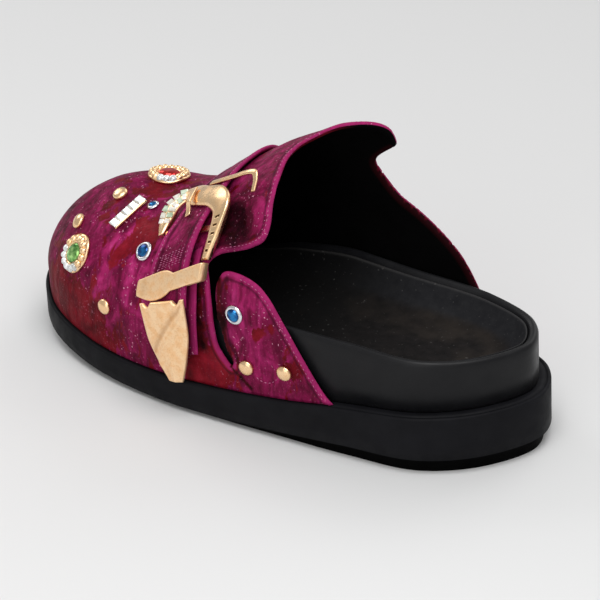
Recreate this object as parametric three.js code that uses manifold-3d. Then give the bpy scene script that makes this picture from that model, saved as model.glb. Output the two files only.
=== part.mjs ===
import * as THREE from 'three';
import Module from 'manifold-3d';

// Left open-back clog in millimetres. While it is built, x runs from the heel back to the toe tip,
// +y is the wearer's outer side and z is up from the floor. The finished group is centred at the end.

const wasm = await Module();
wasm.setup();

// Named sizes
const GAP = 0.3;
const FAR = 90;
const SIDE_STEPS = 30;
const DENSE_STEPS = 360;
const EDGE_STEPS = 3;
const WELD_PER_MM = 1e4;

// How finely each sheet is divided: along it, then across it
const SHEET_STEPS = {
  strap: [26, 4],
  underStrap: [10, 4],
  frame: [30, 4],
  bar: [8, 1],
  prong: [14, 2],
  legCrystals: [10, 4],
  loop: [20, 1],
  tip: [10, 12],
  tray: [1, 1],
};

const SOLE = {
  toeSpring: 7,
  springFrom: 165,
  springRun: 81,
  floorInset: 3.2,
  treadInset: 2,
  stepRise: 0.4,
  edgeRound: 1,
  waistFrom: 96,
  waistTo: 126,
  waistDepth: 1.6,
  waistHalf: 28,
  grooveWidth: 3,
  grooveDepth: 1.4,
  grooveHalf: 24,
};

const GROOVE_STATIONS = [24, 42, 60, 78, 140, 156];

const FOOTBED = { inset: 5 };

const INSOLE = { fromInset: 9.6, gap: 0.5, thickness: 1.4 };

const UPPER = {
  wall: 2.2,
  baseInset: 1.8,
  rearX: 16,
  rearTrim: 4,
  fanX: 182,
  spineEndX: 197,
  splitY: -12,
  outerSink: 0.01,
  innerSink: 6,
  plainSteps: 24,
  fanSteps: 10,
  ribSteps: 8,
};

// Outline of the sole, seen from above, from the heel round the outer side to the toe and back
const OUTLINE = [
  { name: 'heel_back', x: 0, y: -3 },
  { name: 'heel_back_outer', x: 13, y: 22 },
  { name: 'heel_outer', x: 36, y: 38 },
  { name: 'waist_rear_outer', x: 68, y: 41.4 },
  { name: 'waist_outer', x: 100, y: 42 },
  { name: 'waist_front_outer', x: 133, y: 42 },
  { name: 'ball_outer', x: 160, y: 40.6 },
  { name: 'little_toe', x: 201, y: 32 },
  { name: 'toe_outer', x: 230, y: 16.5 },
  { name: 'toe_tip', x: 246, y: -8 },
  { name: 'toe_inner', x: 238.5, y: -30 },
  { name: 'big_toe', x: 215, y: -44.5 },
  { name: 'ball_inner', x: 178, y: -52 },
  { name: 'arch_front', x: 145, y: -47.5 },
  { name: 'arch_mid', x: 108, y: -40 },
  { name: 'arch_rear', x: 74, y: -36.5 },
  { name: 'heel_inner', x: 36, y: -35.5 },
  { name: 'heel_back_inner', x: 9, y: -24 },
];

// Height of the sole's wall along the foot, before the toe spring is added
const SOLE_WALL = [
  { x: 0, height: 26.6 },
  { x: 30, height: 26.2 },
  { x: 73, height: 22.6 },
  { x: 95, height: 19.2 },
  { x: 122, height: 16.4 },
  { x: 150, height: 14.7 },
  { x: 180, height: 13.7 },
  { x: 246, height: 13.5 },
];

// Height of the recessed tread band under the wall, which fades out towards the forefoot
const TREAD_BAND = [
  { x: 0, height: 6.6 },
  { x: 60, height: 6 },
  { x: 110, height: 3 },
  { x: 150, height: 1.8 },
  { x: 246, height: 1.8 },
];

// Footbed heights along the foot: top of the rim, and the floor that the foot stands on
const BED = [
  { x: 0, rim: 48, floor: 37 },
  { x: 35, rim: 49, floor: 35 },
  { x: 70, rim: 51, floor: 36 },
  { x: 100, rim: 51.5, floor: 36 },
  { x: 135, rim: 44, floor: 31 },
  { x: 155, rim: 36, floor: 27 },
  { x: 175, rim: 30, floor: 24 },
  { x: 215, rim: 30, floor: 24.5 },
  { x: 246, rim: 34, floor: 28 },
];

// Rings of the footbed from the wall over the rolled rim and down into the cup
const BED_RINGS = [
  { inset: 5, drop: 0.16 },
  { inset: 5.6, drop: 0.05 },
  { inset: 6.8, drop: 0 },
  { inset: 8.4, drop: 0.06 },
  { inset: 9.6, drop: 0.2 },
  { inset: 13, drop: 0.6 },
  { inset: 17, drop: 0.87 },
  { inset: 21, drop: 0.97 },
  { inset: 25, drop: 1 },
];

// Sections of the last: crest of the instep, how full each flank is (2 is an ellipse),
// and how far the wall stands upright beside the footbed before it leans in
const LAST = [
  { x: 16, crestY: -12, crestZ: 119, outer: 2, inner: 3.4, upright: 30 },
  { x: 60, crestY: -12, crestZ: 121, outer: 2, inner: 3.4, upright: 30 },
  { x: 85, crestY: -12, crestZ: 120.5, outer: 2, inner: 3.5, upright: 31 },
  { x: 100, crestY: -12, crestZ: 117.5, outer: 2, inner: 3.3, upright: 32 },
  { x: 112, crestY: -11, crestZ: 111.6, outer: 2, inner: 3, upright: 32 },
  { x: 124, crestY: -10, crestZ: 105.4, outer: 2, inner: 2.8, upright: 30 },
  { x: 136, crestY: -10, crestZ: 97.4, outer: 2, inner: 2.6, upright: 26 },
  { x: 148, crestY: -9, crestZ: 88.4, outer: 2.05, inner: 2.5, upright: 21 },
  { x: 158, crestY: -9, crestZ: 80.5, outer: 2.1, inner: 2.4, upright: 18 },
  { x: 170, crestY: -9, crestZ: 75, outer: 2.3, inner: 2.6, upright: 16 },
  { x: 182, crestY: -9, crestZ: 72.3, outer: 2.3, inner: 2.75, upright: 14 },
  { x: 197, crestY: -9, crestZ: 73.6, outer: 1.55, inner: 1.55, upright: 10 },
];

// Opening seen from above: behind this line nothing of the flap is left
const COLLAR_TOP = { from: 98, to: 140 };
const COLLAR_PLAN = [
  { x: -20, y: 70 },
  { x: 107, y: 70 },
  { x: 107, y: 26 },
  { x: 109.4, y: 19.6 },
  { x: 111.6, y: 11 },
  { x: 113.6, y: 0 },
  { x: 111.5, y: -9 },
  { x: 103, y: -16.5 },
  { x: 93, y: -21.5 },
  { x: 86, y: -24.5 },
  { x: 82.6, y: -27.5 },
  { x: 81.6, y: -32 },
  { x: 81.6, y: -70 },
  { x: -20, y: -70 },
];

// Opening seen from the outer side: flap corner, notch, slit, then the wing's top and rear edge
const OUTER_EDGE = [
  { x: -20, z: 106 },
  { x: 110.6, z: 106 },
  { x: 109.6, z: 100 },
  { x: 107, z: 92 },
  { x: 108, z: 86 },
  { x: 113.4, z: 82 },
  { x: 130, z: 74.2 },
  { x: 134, z: 69.6 },
  { x: 132, z: 63 },
  { x: 130, z: 54 },
  { x: 128.8, z: 43.6 },
  { x: 126.8, z: 35 },
  { x: 121.4, z: 28 },
  { x: 120.4, z: 29.2 },
  { x: 123.6, z: 36 },
  { x: 125.6, z: 45 },
  { x: 127.4, z: 54 },
  { x: 128.2, z: 63 },
  { x: 125.4, z: 69.2 },
  { x: 118, z: 70.6 },
  { x: 108.6, z: 68.8 },
  { x: 102.4, z: 64.4 },
  { x: 95.7, z: 55.4 },
  { x: 88.5, z: 43.6 },
  { x: 82.7, z: 34.4 },
  { x: 77, z: 26.2 },
  { x: 71, z: 20 },
  { x: 66, z: 5 },
  { x: -20, z: 5 },
];

// Opening seen from the inner side: under the flap's tongue, then along the quarter to the ledge
const INNER_EDGE = [
  { x: -20, z: 98 },
  { x: 60, z: 109 },
  { x: 78, z: 110 },
  { x: 83, z: 106.6 },
  { x: 94, z: 95.6 },
  { x: 90, z: 88.8 },
  { x: 83, z: 81.8 },
  { x: 74, z: 77 },
  { x: 65.3, z: 71 },
  { x: 56, z: 62.2 },
  { x: 50, z: 53.6 },
  { x: 42, z: 37 },
  { x: 36, z: 24 },
  { x: 32, z: 5 },
  { x: -20, z: 5 },
];

// Strap line over the instep. wrap is degrees round the rib: 90 is the crest, less is the outer flank.
// x is the middle of the strap and lift its height off the upper.
const STRAP = { half: 10.3, thickness: 1.9 };
const STRAP_LINE = [
  { wrap: 12, x: 149.4, lift: 4.1 },
  { wrap: 25, x: 150.4, lift: 4.2 },
  { wrap: 34, x: 150.8, lift: 4.1 },
  { wrap: 46, x: 150.6, lift: 3.2 },
  { wrap: 58, x: 148.6, lift: 2.4 },
  { wrap: 72, x: 147.4, lift: 2.2 },
  { wrap: 90, x: 147.6, lift: 1 },
  { wrap: 136, x: 149, lift: 0.7 },
];

const UNDER_STRAP = { half: 10.3, shift: -2.6, fromWrap: -40, toWrap: 38, low: 0.6, high: 1.8 };

// Buckle frame: a horseshoe from the point of its front leg over the arch to the end of its rear leg.
// wrap and x are its middle line, half its half width, low and high its faces' height off the upper.
const BUCKLE = { crown: 1.2, barHalf: 1.3, barLow: 0.9, barHigh: 2.3 };
const BUCKLE_LINE = [
  { wrap: 50, x: 162.8, half: 1.5, low: 1.5, high: 3.6 },
  { wrap: 57, x: 163.6, half: 3.1, low: 2, high: 4.4 },
  { wrap: 65, x: 163, half: 4.1, low: 4.7, high: 6.2 },
  { wrap: 70.5, x: 158, half: 4, low: 4.8, high: 6.6 },
  { wrap: 64.5, x: 148.5, half: 4.2, low: 4.8, high: 6.6 },
  { wrap: 58.5, x: 138, half: 4.1, low: 5, high: 6.6 },
  { wrap: 52, x: 132.6, half: 4, low: 3, high: 5.8 },
  { wrap: 41, x: 132, half: 3.2, low: 1.6, high: 4.6 },
  { wrap: 30, x: 133.8, half: 2.2, low: 1.2, high: 3.6 },
];
// The bar runs under the strap from the rear to the front leg
const BUCKLE_BAR = { fromWrap: 44, fromX: 131.8, toWrap: 52, toX: 162.4 };

const PRONG = {
  half: 1.3,
  taper: 0.3,
  fromWrap: 55.5,
  toWrap: 69,
  fromX: 151.2,
  toX: 152.8,
  overArch: 60.5,
  thickness: 1.3,
};

// Clear crystals on the front leg, as shares of the horseshoe's length, in two rows
const LEG_CRYSTALS = { from: 0.1, to: 0.36, stones: 5, rows: 2, margin: 0.85, girdle: 0.3, peak: 1 };

// Wire loop by the crest: its rear end bends down to the upper
const LOOP = { half: 1.1, thickness: 1.4 };
const LOOP_LINE = [
  { wrap: 72, x: 148, low: 4.5 },
  { wrap: 69.4, x: 141, low: 4.5 },
  { wrap: 67.2, x: 134, low: 4.6 },
  { wrap: 66, x: 127, low: 4.6 },
  { wrap: 64.6, x: 122.4, low: 4.1 },
  { wrap: 61.5, x: 121, low: 2.4 },
  { wrap: 57, x: 120.8, low: 0.4 },
];

// Ring that the strap passes through, with a leaf-shaped face
const KEEPER = {
  wrap: 25,
  fromX: 132,
  toX: 164.5,
  plainHalf: 3.2,
  leafHalf: 5.4,
  leafFromX: 147,
  leafSkew: 0.8,
  underLow: 2.2,
  underHigh: 3.6,
  faceLow: 6.6,
  faceHigh: 8,
};
const RING_END = 1.4;
const RING_STEPS = 10;
const DEGREES_PER_MM = 1.15;

// Strap tip: half width along its length
const TIP = {
  length: 37,
  thickness: 1.8,
  ridge: 0.9,
  notchDepth: 2,
  notchWaves: 3,
  notchFade: 4,
  crownHalf: 0.2,
  skew: 2,
  topX: 150,
  topZ: 54,
  endX: 144,
  endZ: 18,
  y: 45,
  lean: 1,
};
const TIP_HALF = [
  { x: 0, half: 11.4 },
  { x: 0.4, half: 10.6 },
  { x: 0.75, half: 7 },
  { x: 1, half: 3.2 },
];

// Set stones. A seat is found from above at x, y, or from the outer side at x, z.
const STONES = [
  { name: 'green_toe', set: 'green_large', from: 'above', x: 209.6, y: 21 },
  { name: 'red_vamp', set: 'red_large', from: 'above', x: 188.2, y: -19.4 },
  { name: 'blue_vamp', set: 'blue_round', from: 'above', x: 170.8, y: 26 },
  { name: 'blue_bar', set: 'blue_tiny', from: 'above', x: 180, y: 4.9 },
  { name: 'blue_wing', set: 'blue_wide', from: 'outside', x: 118.2, z: 53.3 },
];

// Half sizes of each kind of set stone over its bezel, along and across the foot, and its rim and height
const STONE_SETS = {
  green_large: { along: 10, across: 8, rim: 3.8, height: 2.6, metal: 'gold', stone: 'green' },
  red_large: { along: 9.4, across: 8.6, rim: 4, height: 2.6, metal: 'gold', stone: 'red' },
  blue_round: { along: 4.2, across: 4.2, rim: 1, height: 1.6, metal: 'silver', stone: 'blue' },
  blue_tiny: { along: 2.6, across: 2.6, rim: 0.7, height: 1.4, metal: 'silver', stone: 'blue' },
  blue_wide: { along: 4.2, across: 4.2, rim: 1.1, height: 1.6, metal: 'silver', stone: 'blue' },
};

// Profiles of bezel and stone, as shares of the bezel's height or of the stone's radius
const BEZEL = { shoulder: 0.5, crest: 0.5, lip: 0.8, sides: 18 };
const STONE_CUT = { lift: 0.1, girdle: 0.8, table: 0.6, tableHeight: 1.3, peak: 1.4, sides: 12 };
const SEAT_REACH = 3;

const STUDS = [
  { name: 'stud_toe_top', from: 'above', x: 199, y: 1.3 },
  { name: 'stud_toe_outer', from: 'above', x: 215, y: 10.2 },
  { name: 'stud_vamp_side', from: 'outside', x: 187.6, z: 35.4 },
  { name: 'stud_wing_front', from: 'outside', x: 113.3, z: 30.1 },
  { name: 'stud_wing_rear', from: 'outside', x: 95.1, z: 32.4 },
];
const STUD = { radius: 3.4, base: 0.6, height: 2.2, sides: 14, domeSteps: 4 };

// Bar of clear crystals, from its lower to its upper end
const CRYSTAL_BAR = {
  from: { x: 191.8, y: 17.6 },
  to: { x: 185, y: 3.2 },
  half: 2.4,
  tray: 1.2,
  bulge: 1.2,
  stones: 5,
  girdle: 0.4,
  peak: 1.5,
  endMargin: 0.04,
  width: 0.85,
  acrossSteps: 4,
};

// Small helpers
const clamp01 = (value) => Math.min(1, Math.max(0, value));
const mix = (a, b, share) => a + (b - a) * share;
const steps = (count) => Array.from({ length: count + 1 }, (_, i) => i / count);

// Smooth value of one column of a table at x, without overshoot between the rows
function column(table, key) {
  const slope = (i) => (table[i + 1][key] - table[i][key]) / (table[i + 1].x - table[i].x);
  const tangents = table.map((_, i) => {
    if (i === 0) return slope(0);
    if (i === table.length - 1) return slope(i - 1);
    const before = slope(i - 1);
    const after = slope(i);
    return before * after <= 0 ? 0 : (2 * before * after) / (before + after);
  });
  return (x) => {
    const last = table.length - 2;
    const found = table.findIndex((row, i) => i <= last && x <= table[i + 1].x);
    const i = found < 0 ? last : found;
    const run = table[i + 1].x - table[i].x;
    const t = clamp01((x - table[i].x) / run);
    const t2 = t * t;
    const t3 = t2 * t;
    const ends = table[i][key] * (2 * t3 - 3 * t2 + 1) + table[i + 1][key] * (3 * t2 - 2 * t3);
    return ends + run * (tangents[i] * (t3 - 2 * t2 + t) + tangents[i + 1] * (t3 - t2));
  };
}

const wallAt = column(SOLE_WALL, 'height');
const treadAt = column(TREAD_BAND, 'height');
const rimAt = column(BED, 'rim');
const floorAt = column(BED, 'floor');
const crestYAt = column(LAST, 'crestY');
const crestZAt = column(LAST, 'crestZ');
const outerFullAt = column(LAST, 'outer');
const innerFullAt = column(LAST, 'inner');
const uprightAt = column(LAST, 'upright');

// A closed solid from points and triangles
function solidFrom(points, triangles) {
  const vertProperties = new Float32Array(points.flatMap((p) => [p.x, p.y, p.z]));
  const triVerts = new Uint32Array(triangles.flat());
  return new wasm.Manifold(new wasm.Mesh({ numProp: 3, vertProperties, triVerts }));
}

// A closed solid from one of three's own closed geometries
function solidOf(geometry) {
  const found = new Map();
  const points = [];
  const position = geometry.getAttribute('position');
  const order = geometry.index ? Array.from(geometry.index.array) : [...Array(position.count).keys()];
  const merged = order.map((i) => {
    const point = new THREE.Vector3().fromBufferAttribute(position, i);
    const key = point.toArray().map((value) => Math.round(value * WELD_PER_MM)).join(' ');
    if (!found.has(key)) found.set(key, points.push(point) - 1);
    return found.get(key);
  });
  const triangles = [];
  for (let i = 0; i < merged.length; i += 3) {
    const [a, b, c] = merged.slice(i, i + 3);
    if (a !== b && b !== c && c !== a) triangles.push([a, b, c]);
  }
  return solidFrom(points, triangles);
}

// A prism of a closed 2-D outline, with place(a, b, h) giving each point at height h
function prism(outline, from, to, place) {
  const shape = new THREE.Shape(outline.map((p) => new THREE.Vector2(p.a, p.b)));
  const geometry = new THREE.ExtrudeGeometry(shape, { depth: to - from, bevelEnabled: false });
  const position = geometry.getAttribute('position');
  for (let i = 0; i < position.count; i += 1) {
    const p = place(position.getX(i), position.getY(i), position.getZ(i) + from);
    position.setXYZ(i, p.x, p.y, p.z);
  }
  return solidOf(geometry);
}

// The sole's outline moved inwards, as two chains from the heel to the toe tip
const outlineCurve = new THREE.CatmullRomCurve3(
  OUTLINE.map((p) => new THREE.Vector3(p.x, p.y, 0)), true, 'centripetal');
const tipAt = OUTLINE.findIndex((p) => p.name === 'toe_tip') / OUTLINE.length;

function outlineSides(inset, count = SIDE_STEPS) {
  const pointAt = (t) => {
    const p = outlineCurve.getPoint(t);
    const along = outlineCurve.getTangent(t);
    return new THREE.Vector2(p.x + inset * along.y, p.y - inset * along.x);
  };
  return {
    outer: steps(count).map((t) => pointAt(tipAt * t)),
    inner: steps(count).map((t) => pointAt(1 - (1 - tipAt) * t)),
  };
}

// Heights of the sole along x
const springAt = (x) => SOLE.toeSpring * clamp01((x - SOLE.springFrom) / SOLE.springRun) ** 2;

const soleTopAt = (x) => wallAt(x) + springAt(x);

// A closed ring round the sole at an inset, with its height from a function of x
function soleRing(inset, heightAt) {
  const sides = outlineSides(inset);
  const loop = [...sides.outer, ...sides.inner.slice(1, -1).reverse()];
  return loop.map((p) => new THREE.Vector3(p.x, p.y, heightAt(p.x)));
}

// A solid skinned over rings from the bottom up, both ends closed by strips across the foot
function ringSolid(rings) {
  const size = rings[0].length;
  const half = size / 2;
  const triangles = [];
  for (let r = 0; r < rings.length - 1; r += 1) {
    for (let i = 0; i < size; i += 1) {
      const low = r * size;
      const high = low + size;
      const next = (i + 1) % size;
      triangles.push([low + i, high + i, high + next], [low + i, high + next, low + next]);
    }
  }
  const top = (rings.length - 1) * size;
  for (let i = 0; i < half; i += 1) {
    const innerHere = (size - i) % size;
    const innerNext = size - i - 1;
    if (i > 0) {
      triangles.push([top + i, top + innerHere, top + innerNext], [i, innerNext, innerHere]);
    }
    if (i + 1 < half) {
      triangles.push([top + i, top + innerNext, top + i + 1], [i, i + 1, innerNext]);
    }
  }
  return solidFrom(rings.flat(), triangles);
}

// Outsole: recessed tread band, plain wall, ledge on top, a shallow waist and cross grooves below
function makeOutsole() {
  const rounded = (x) => soleTopAt(x) - SOLE.edgeRound;
  const body = ringSolid([
    soleRing(SOLE.floorInset, springAt),
    soleRing(SOLE.treadInset, (x) => springAt(x) + treadAt(x)),
    soleRing(0, (x) => springAt(x) + treadAt(x) + SOLE.stepRise),
    soleRing(0, rounded),
    soleRing(SOLE.edgeRound, soleTopAt),
  ]);
  const crossCut = (from, to, depth, half) => prism(
    [{ a: from, b: -depth }, { a: to, b: -depth }, { a: to, b: depth }, { a: from, b: depth }],
    -half, half, (x, z, y) => new THREE.Vector3(x, -y, z));
  const groove = (x) => crossCut(x, x + SOLE.grooveWidth, SOLE.grooveDepth, SOLE.grooveHalf);
  const cuts = [
    crossCut(SOLE.waistFrom, SOLE.waistTo, SOLE.waistDepth, SOLE.waistHalf),
    ...GROOVE_STATIONS.map(groove),
  ];
  return cuts.reduce((solid, cut) => solid.subtract(cut), body);
}

// Footbed: wall on the ledge, rolled rim and a cupped top
const bedHeight = (drop) => (x) => mix(rimAt(x), floorAt(x), drop);

function makeFootbed() {
  const foot = soleRing(FOOTBED.inset, (x) => soleTopAt(x) + GAP);
  const rings = BED_RINGS.map((row) => soleRing(row.inset, bedHeight(row.drop)));
  return ringSolid([foot, ...rings]);
}

// Insole: a thin sock that follows the cup
function makeInsole() {
  const rows = BED_RINGS.filter((row) => row.inset >= INSOLE.fromInset);
  const lifted = (lift) => rows.map((row) => soleRing(row.inset, (x) => bedHeight(row.drop)(x) + lift));
  const under = lifted(INSOLE.gap).reverse();
  return ringSolid([...under, ...lifted(INSOLE.gap + INSOLE.thickness)]);
}

// Base line of the upper on the ledge: a point for a station before the fan, or a share of the toe
const denseOutline = new Map();

function baseChain(side, inset) {
  const key = `${side} ${inset}`;
  if (!denseOutline.has(key)) denseOutline.set(key, outlineSides(inset, DENSE_STEPS)[side]);
  return denseOutline.get(key);
}

function pointAtX(chain, x) {
  const i = chain.findIndex((p) => p.x >= x);
  const share = (x - chain[i - 1].x) / (chain[i].x - chain[i - 1].x);
  return new THREE.Vector2(x, mix(chain[i - 1].y, chain[i].y, share));
}

function pointOnToe(chain, share) {
  const start = chain.findIndex((p) => p.x >= UPPER.fanX);
  const at = start + share * (chain.length - 1 - start);
  const i = Math.min(Math.floor(at), chain.length - 2);
  return chain[i].clone().lerp(chain[i + 1], at - i);
}

// One rib of the upper: angle -1 is at the ledge, 0 at the top of the upright wall, half pi at the crest.
// A station up to fanX is plain x; past it, each millimetre is a share of the way round the toe.
const FAN_LENGTH = UPPER.spineEndX - UPPER.fanX;

function upperPoint(side, station, angle, grow) {
  const chain = baseChain(side, UPPER.baseInset - grow);
  const fan = clamp01((station - UPPER.fanX) / FAN_LENGTH);
  const base = fan > 0 ? pointOnToe(chain, fan) : pointAtX(chain, station);
  const crestX = fan > 0 ? UPPER.fanX + FAN_LENGTH * (1 - (1 - fan) ** 2) : station;
  const crest = new THREE.Vector2(crestX, crestYAt(crestX));
  const fullness = side === 'outer' ? outerFullAt(crestX) : innerFullAt(crestX);
  const across = Math.cos(Math.max(0, angle));
  const rise = Math.sin(Math.max(0, angle));
  const radius = (across ** fullness + rise ** fullness) ** (-1 / fullness);
  const flat = crest.clone().lerp(base, radius * across);
  const lean = soleTopAt(base.x) + GAP + uprightAt(crestX) * (1 + Math.min(0, angle));
  return new THREE.Vector3(flat.x, flat.y, mix(lean, crestZAt(crestX) + grow, radius * rise));
}

// The whole last as a closed form, grown outwards or inwards, from rear to toe and down to bottom
function lastForm(grow, rear, sink) {
  const plain = steps(UPPER.plainSteps).map((t) => mix(rear, UPPER.fanX, t));
  const fanShares = steps(UPPER.fanSteps).slice(1);
  const fan = fanShares.map((t) => mix(UPPER.fanX, UPPER.spineEndX, t));
  const angles = [-1, -0.5, ...steps(UPPER.ribSteps).map((t) => (t * Math.PI) / 2)];
  const rings = [...plain, ...fan].map((station) => {
    const up = angles.map((angle) => upperPoint('outer', station, angle, grow));
    const descent = angles.slice(0, -1).reverse();
    const down = descent.map((angle) => upperPoint('inner', station, angle, grow));
    const arch = [...up, ...down];
    const first = arch[0].clone();
    const end = arch[arch.length - 1].clone();
    first.z -= sink;
    end.z -= sink;
    return [first, ...arch, end];
  });
  const size = rings[0].length;
  const triangles = [];
  const at = (r, i) => r * size + i;
  for (let r = 0; r < rings.length - 1; r += 1) {
    for (let i = 0; i < size; i += 1) {
      const next = (i + 1) % size;
      triangles.push([at(r, i), at(r, next), at(r + 1, next)]);
      triangles.push([at(r, i), at(r + 1, next), at(r + 1, i)]);
    }
  }
  const last = rings.length - 1;
  for (let i = 1; i < size - 1; i += 1) {
    triangles.push([at(0, 0), at(0, i + 1), at(0, i)]);
    triangles.push([at(last, 0), at(last, i), at(last, i + 1)]);
  }
  return weld(rings.flat(), triangles);
}

// Joins points that coincide, so that the ribs that meet on the toe's centre line close up
function weld(points, triangles) {
  const geometry = new THREE.BufferGeometry();
  const values = points.flatMap((p) => p.toArray());
  geometry.setAttribute('position', new THREE.Float32BufferAttribute(values, 3));
  geometry.setIndex(triangles.flat());
  return solidOf(geometry);
}

// A smooth line through the rows of an edge table, its far corners included
function rounded(rows) {
  const points = rows.map((p) => new THREE.Vector3(p.a, p.b, 0));
  const curve = new THREE.CatmullRomCurve3(points, false, 'centripetal');
  const count = EDGE_STEPS * (rows.length - 1);
  return steps(count).map((t) => curve.getPoint(t)).map((p) => ({ a: p.x, b: p.y }));
}

const outerForm = () => lastForm(0, UPPER.rearX + UPPER.rearTrim, UPPER.outerSink);

function makeUpper() {
  const shell = outerForm().subtract(lastForm(-UPPER.wall, UPPER.rearX, UPPER.innerSink));
  const plan = rounded(COLLAR_PLAN.map((p) => ({ a: p.x, b: p.y })));
  const top = prism(plan, COLLAR_TOP.from, COLLAR_TOP.to, (x, y, z) => new THREE.Vector3(x, y, z));
  const seenFromSide = (x, z, y) => new THREE.Vector3(x, -y, z);
  const outerEdge = rounded(OUTER_EDGE.map((p) => ({ a: p.x, b: p.z })));
  const innerEdge = rounded(INNER_EDGE.map((p) => ({ a: p.x, b: p.z })));
  const outerCut = prism(outerEdge, -FAR, -UPPER.splitY, seenFromSide);
  const innerCut = prism(innerEdge, -UPPER.splitY, FAR, seenFromSide);
  return shell.subtract(top).subtract(outerCut).subtract(innerCut);
}

// A closed sheet over u from 0 to 1 and w from -1 to 1, between its low and its high face
function patchSolid(uSteps, wSteps, point) {
  const us = steps(uSteps);
  const ws = steps(wSteps).map((t) => 2 * t - 1);
  const wide = ws.length;
  const faceSize = us.length * wide;
  const low = us.flatMap((u) => ws.map((w) => point(u, w, 0)));
  const high = us.flatMap((u) => ws.map((w) => point(u, w, 1)));
  const triangles = [];
  const quad = (a, b, c, d) => triangles.push([a, b, c], [a, c, d]);
  for (let i = 0; i < uSteps; i += 1) {
    for (let j = 0; j < wSteps; j += 1) {
      const a = i * wide + j;
      quad(faceSize + a, faceSize + a + wide, faceSize + a + wide + 1, faceSize + a + 1);
      quad(a, a + 1, a + wide + 1, a + wide);
    }
    const right = i * wide + wSteps;
    quad(i * wide, i * wide + wide, faceSize + i * wide + wide, faceSize + i * wide);
    quad(right, faceSize + right, faceSize + right + wide, right + wide);
  }
  const end = uSteps * wide;
  for (let j = 0; j < wSteps; j += 1) {
    quad(j, faceSize + j, faceSize + j + 1, j + 1);
    quad(end + j, end + j + 1, faceSize + end + j + 1, faceSize + end + j);
  }
  return facingOut([...low, ...high], triangles);
}

// A point over the upper at x: wrap below 0 is on the upright wall, above 90 on the inner flank
function wrapPoint(wrap, x, lift) {
  const side = wrap <= 90 ? 'outer' : 'inner';
  const degrees = wrap <= 90 ? wrap : 180 - wrap;
  const angle = degrees < 0 ? degrees / 90 : THREE.MathUtils.degToRad(degrees);
  return upperPoint(side, x, angle, lift);
}

const strapRows = STRAP_LINE.map((row) => ({ x: row.wrap, mid: row.x, lift: row.lift }));
const strapXAt = column(strapRows, 'mid');
const strapLiftAt = column(strapRows, 'lift');
const strapTopAt = (wrap) => strapLiftAt(wrap) + STRAP.thickness;

function makeTipStrap() {
  const first = STRAP_LINE[0].wrap;
  const last = STRAP_LINE[STRAP_LINE.length - 1].wrap;
  return patchSolid(...SHEET_STEPS.strap, (u, w, level) => {
    const wrap = mix(first, last, u);
    const lift = strapLiftAt(wrap) + level * STRAP.thickness;
    return wrapPoint(wrap, strapXAt(wrap) + w * STRAP.half, lift);
  });
}

function makeUnderStrap() {
  return patchSolid(...SHEET_STEPS.underStrap, (u, w, level) => {
    const wrap = mix(UNDER_STRAP.fromWrap, UNDER_STRAP.toWrap, u);
    const x = strapXAt(wrap) + UNDER_STRAP.shift + w * UNDER_STRAP.half;
    return wrapPoint(wrap, x, mix(UNDER_STRAP.low, UNDER_STRAP.high, level));
  });
}

// A line over the upper, flat in millimetres along the foot and round the rib, and the way across it
function lineOver(rows) {
  const points = rows.map((row) => new THREE.Vector3(row.x, row.wrap / DEGREES_PER_MM, 0));
  const curve = new THREE.CatmullRomCurve3(points, false, 'centripetal');
  return (u, sideways, lift) => {
    const middle = curve.getPoint(u);
    const along = curve.getTangent(u);
    const x = middle.x + sideways * along.y;
    return wrapPoint((middle.y - sideways * along.x) * DEGREES_PER_MM, x, lift);
  };
}

// Smooth values of a line's other columns over the line's length from 0 to 1
function alongLine(rows, key) {
  return column(rows.map((row, i) => ({ x: i / (rows.length - 1), value: row[key] })), 'value');
}

const overBuckle = lineOver(BUCKLE_LINE);
const buckleHalfAt = alongLine(BUCKLE_LINE, 'half');
const buckleLowAt = alongLine(BUCKLE_LINE, 'low');
const buckleHighAt = alongLine(BUCKLE_LINE, 'high');
const buckleTopAt = (u, w) => buckleHighAt(u) + BUCKLE.crown * (1 - w * w);

// Buckle: the domed horseshoe over the strap, and the bar that joins its legs under the strap
function makeBuckleFrame() {
  const frame = patchSolid(...SHEET_STEPS.frame, (u, w, level) => {
    const lift = mix(buckleLowAt(u), buckleTopAt(u, w), level);
    return overBuckle(u, w * buckleHalfAt(u), lift);
  });
  const bar = patchSolid(...SHEET_STEPS.bar, (u, w, level) => {
    const wrap = mix(BUCKLE_BAR.fromWrap, BUCKLE_BAR.toWrap, u) + w * BUCKLE.barHalf * DEGREES_PER_MM;
    const lift = mix(BUCKLE.barLow, BUCKLE.barHigh, level);
    return wrapPoint(wrap, mix(BUCKLE_BAR.fromX, BUCKLE_BAR.toX, u), lift);
  });
  return frame.add(bar);
}

function makeProng() {
  const highest = Math.max(...BUCKLE_LINE.map((row) => row.high));
  const archTop = highest + BUCKLE.crown + GAP;
  return patchSolid(...SHEET_STEPS.prong, (u, w, level) => {
    const wrap = mix(PRONG.fromWrap, PRONG.toWrap, u);
    const climb = clamp01((wrap - PRONG.fromWrap) / (PRONG.overArch - PRONG.fromWrap));
    const low = mix(strapTopAt(wrap) + GAP, archTop, climb ** 2);
    const x = mix(PRONG.fromX, PRONG.toX, u) + w * PRONG.half * (1 - PRONG.taper * u);
    return wrapPoint(wrap, x, low + level * PRONG.thickness);
  });
}

function makeLegCrystals() {
  const { from, to, stones, rows } = LEG_CRYSTALS;
  return patchSolid(...SHEET_STEPS.legCrystals, (u, w, level) => {
    const along = mix(from, to, u);
    const bulge = Math.abs(Math.sin(u * stones * Math.PI) * Math.sin(((w + 1) / 2) * rows * Math.PI));
    const inside = w * LEG_CRYSTALS.margin;
    const rise = GAP + level * (LEG_CRYSTALS.girdle + LEG_CRYSTALS.peak * bulge);
    return overBuckle(along, inside * buckleHalfAt(along), buckleTopAt(along, inside) + rise);
  });
}

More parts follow.
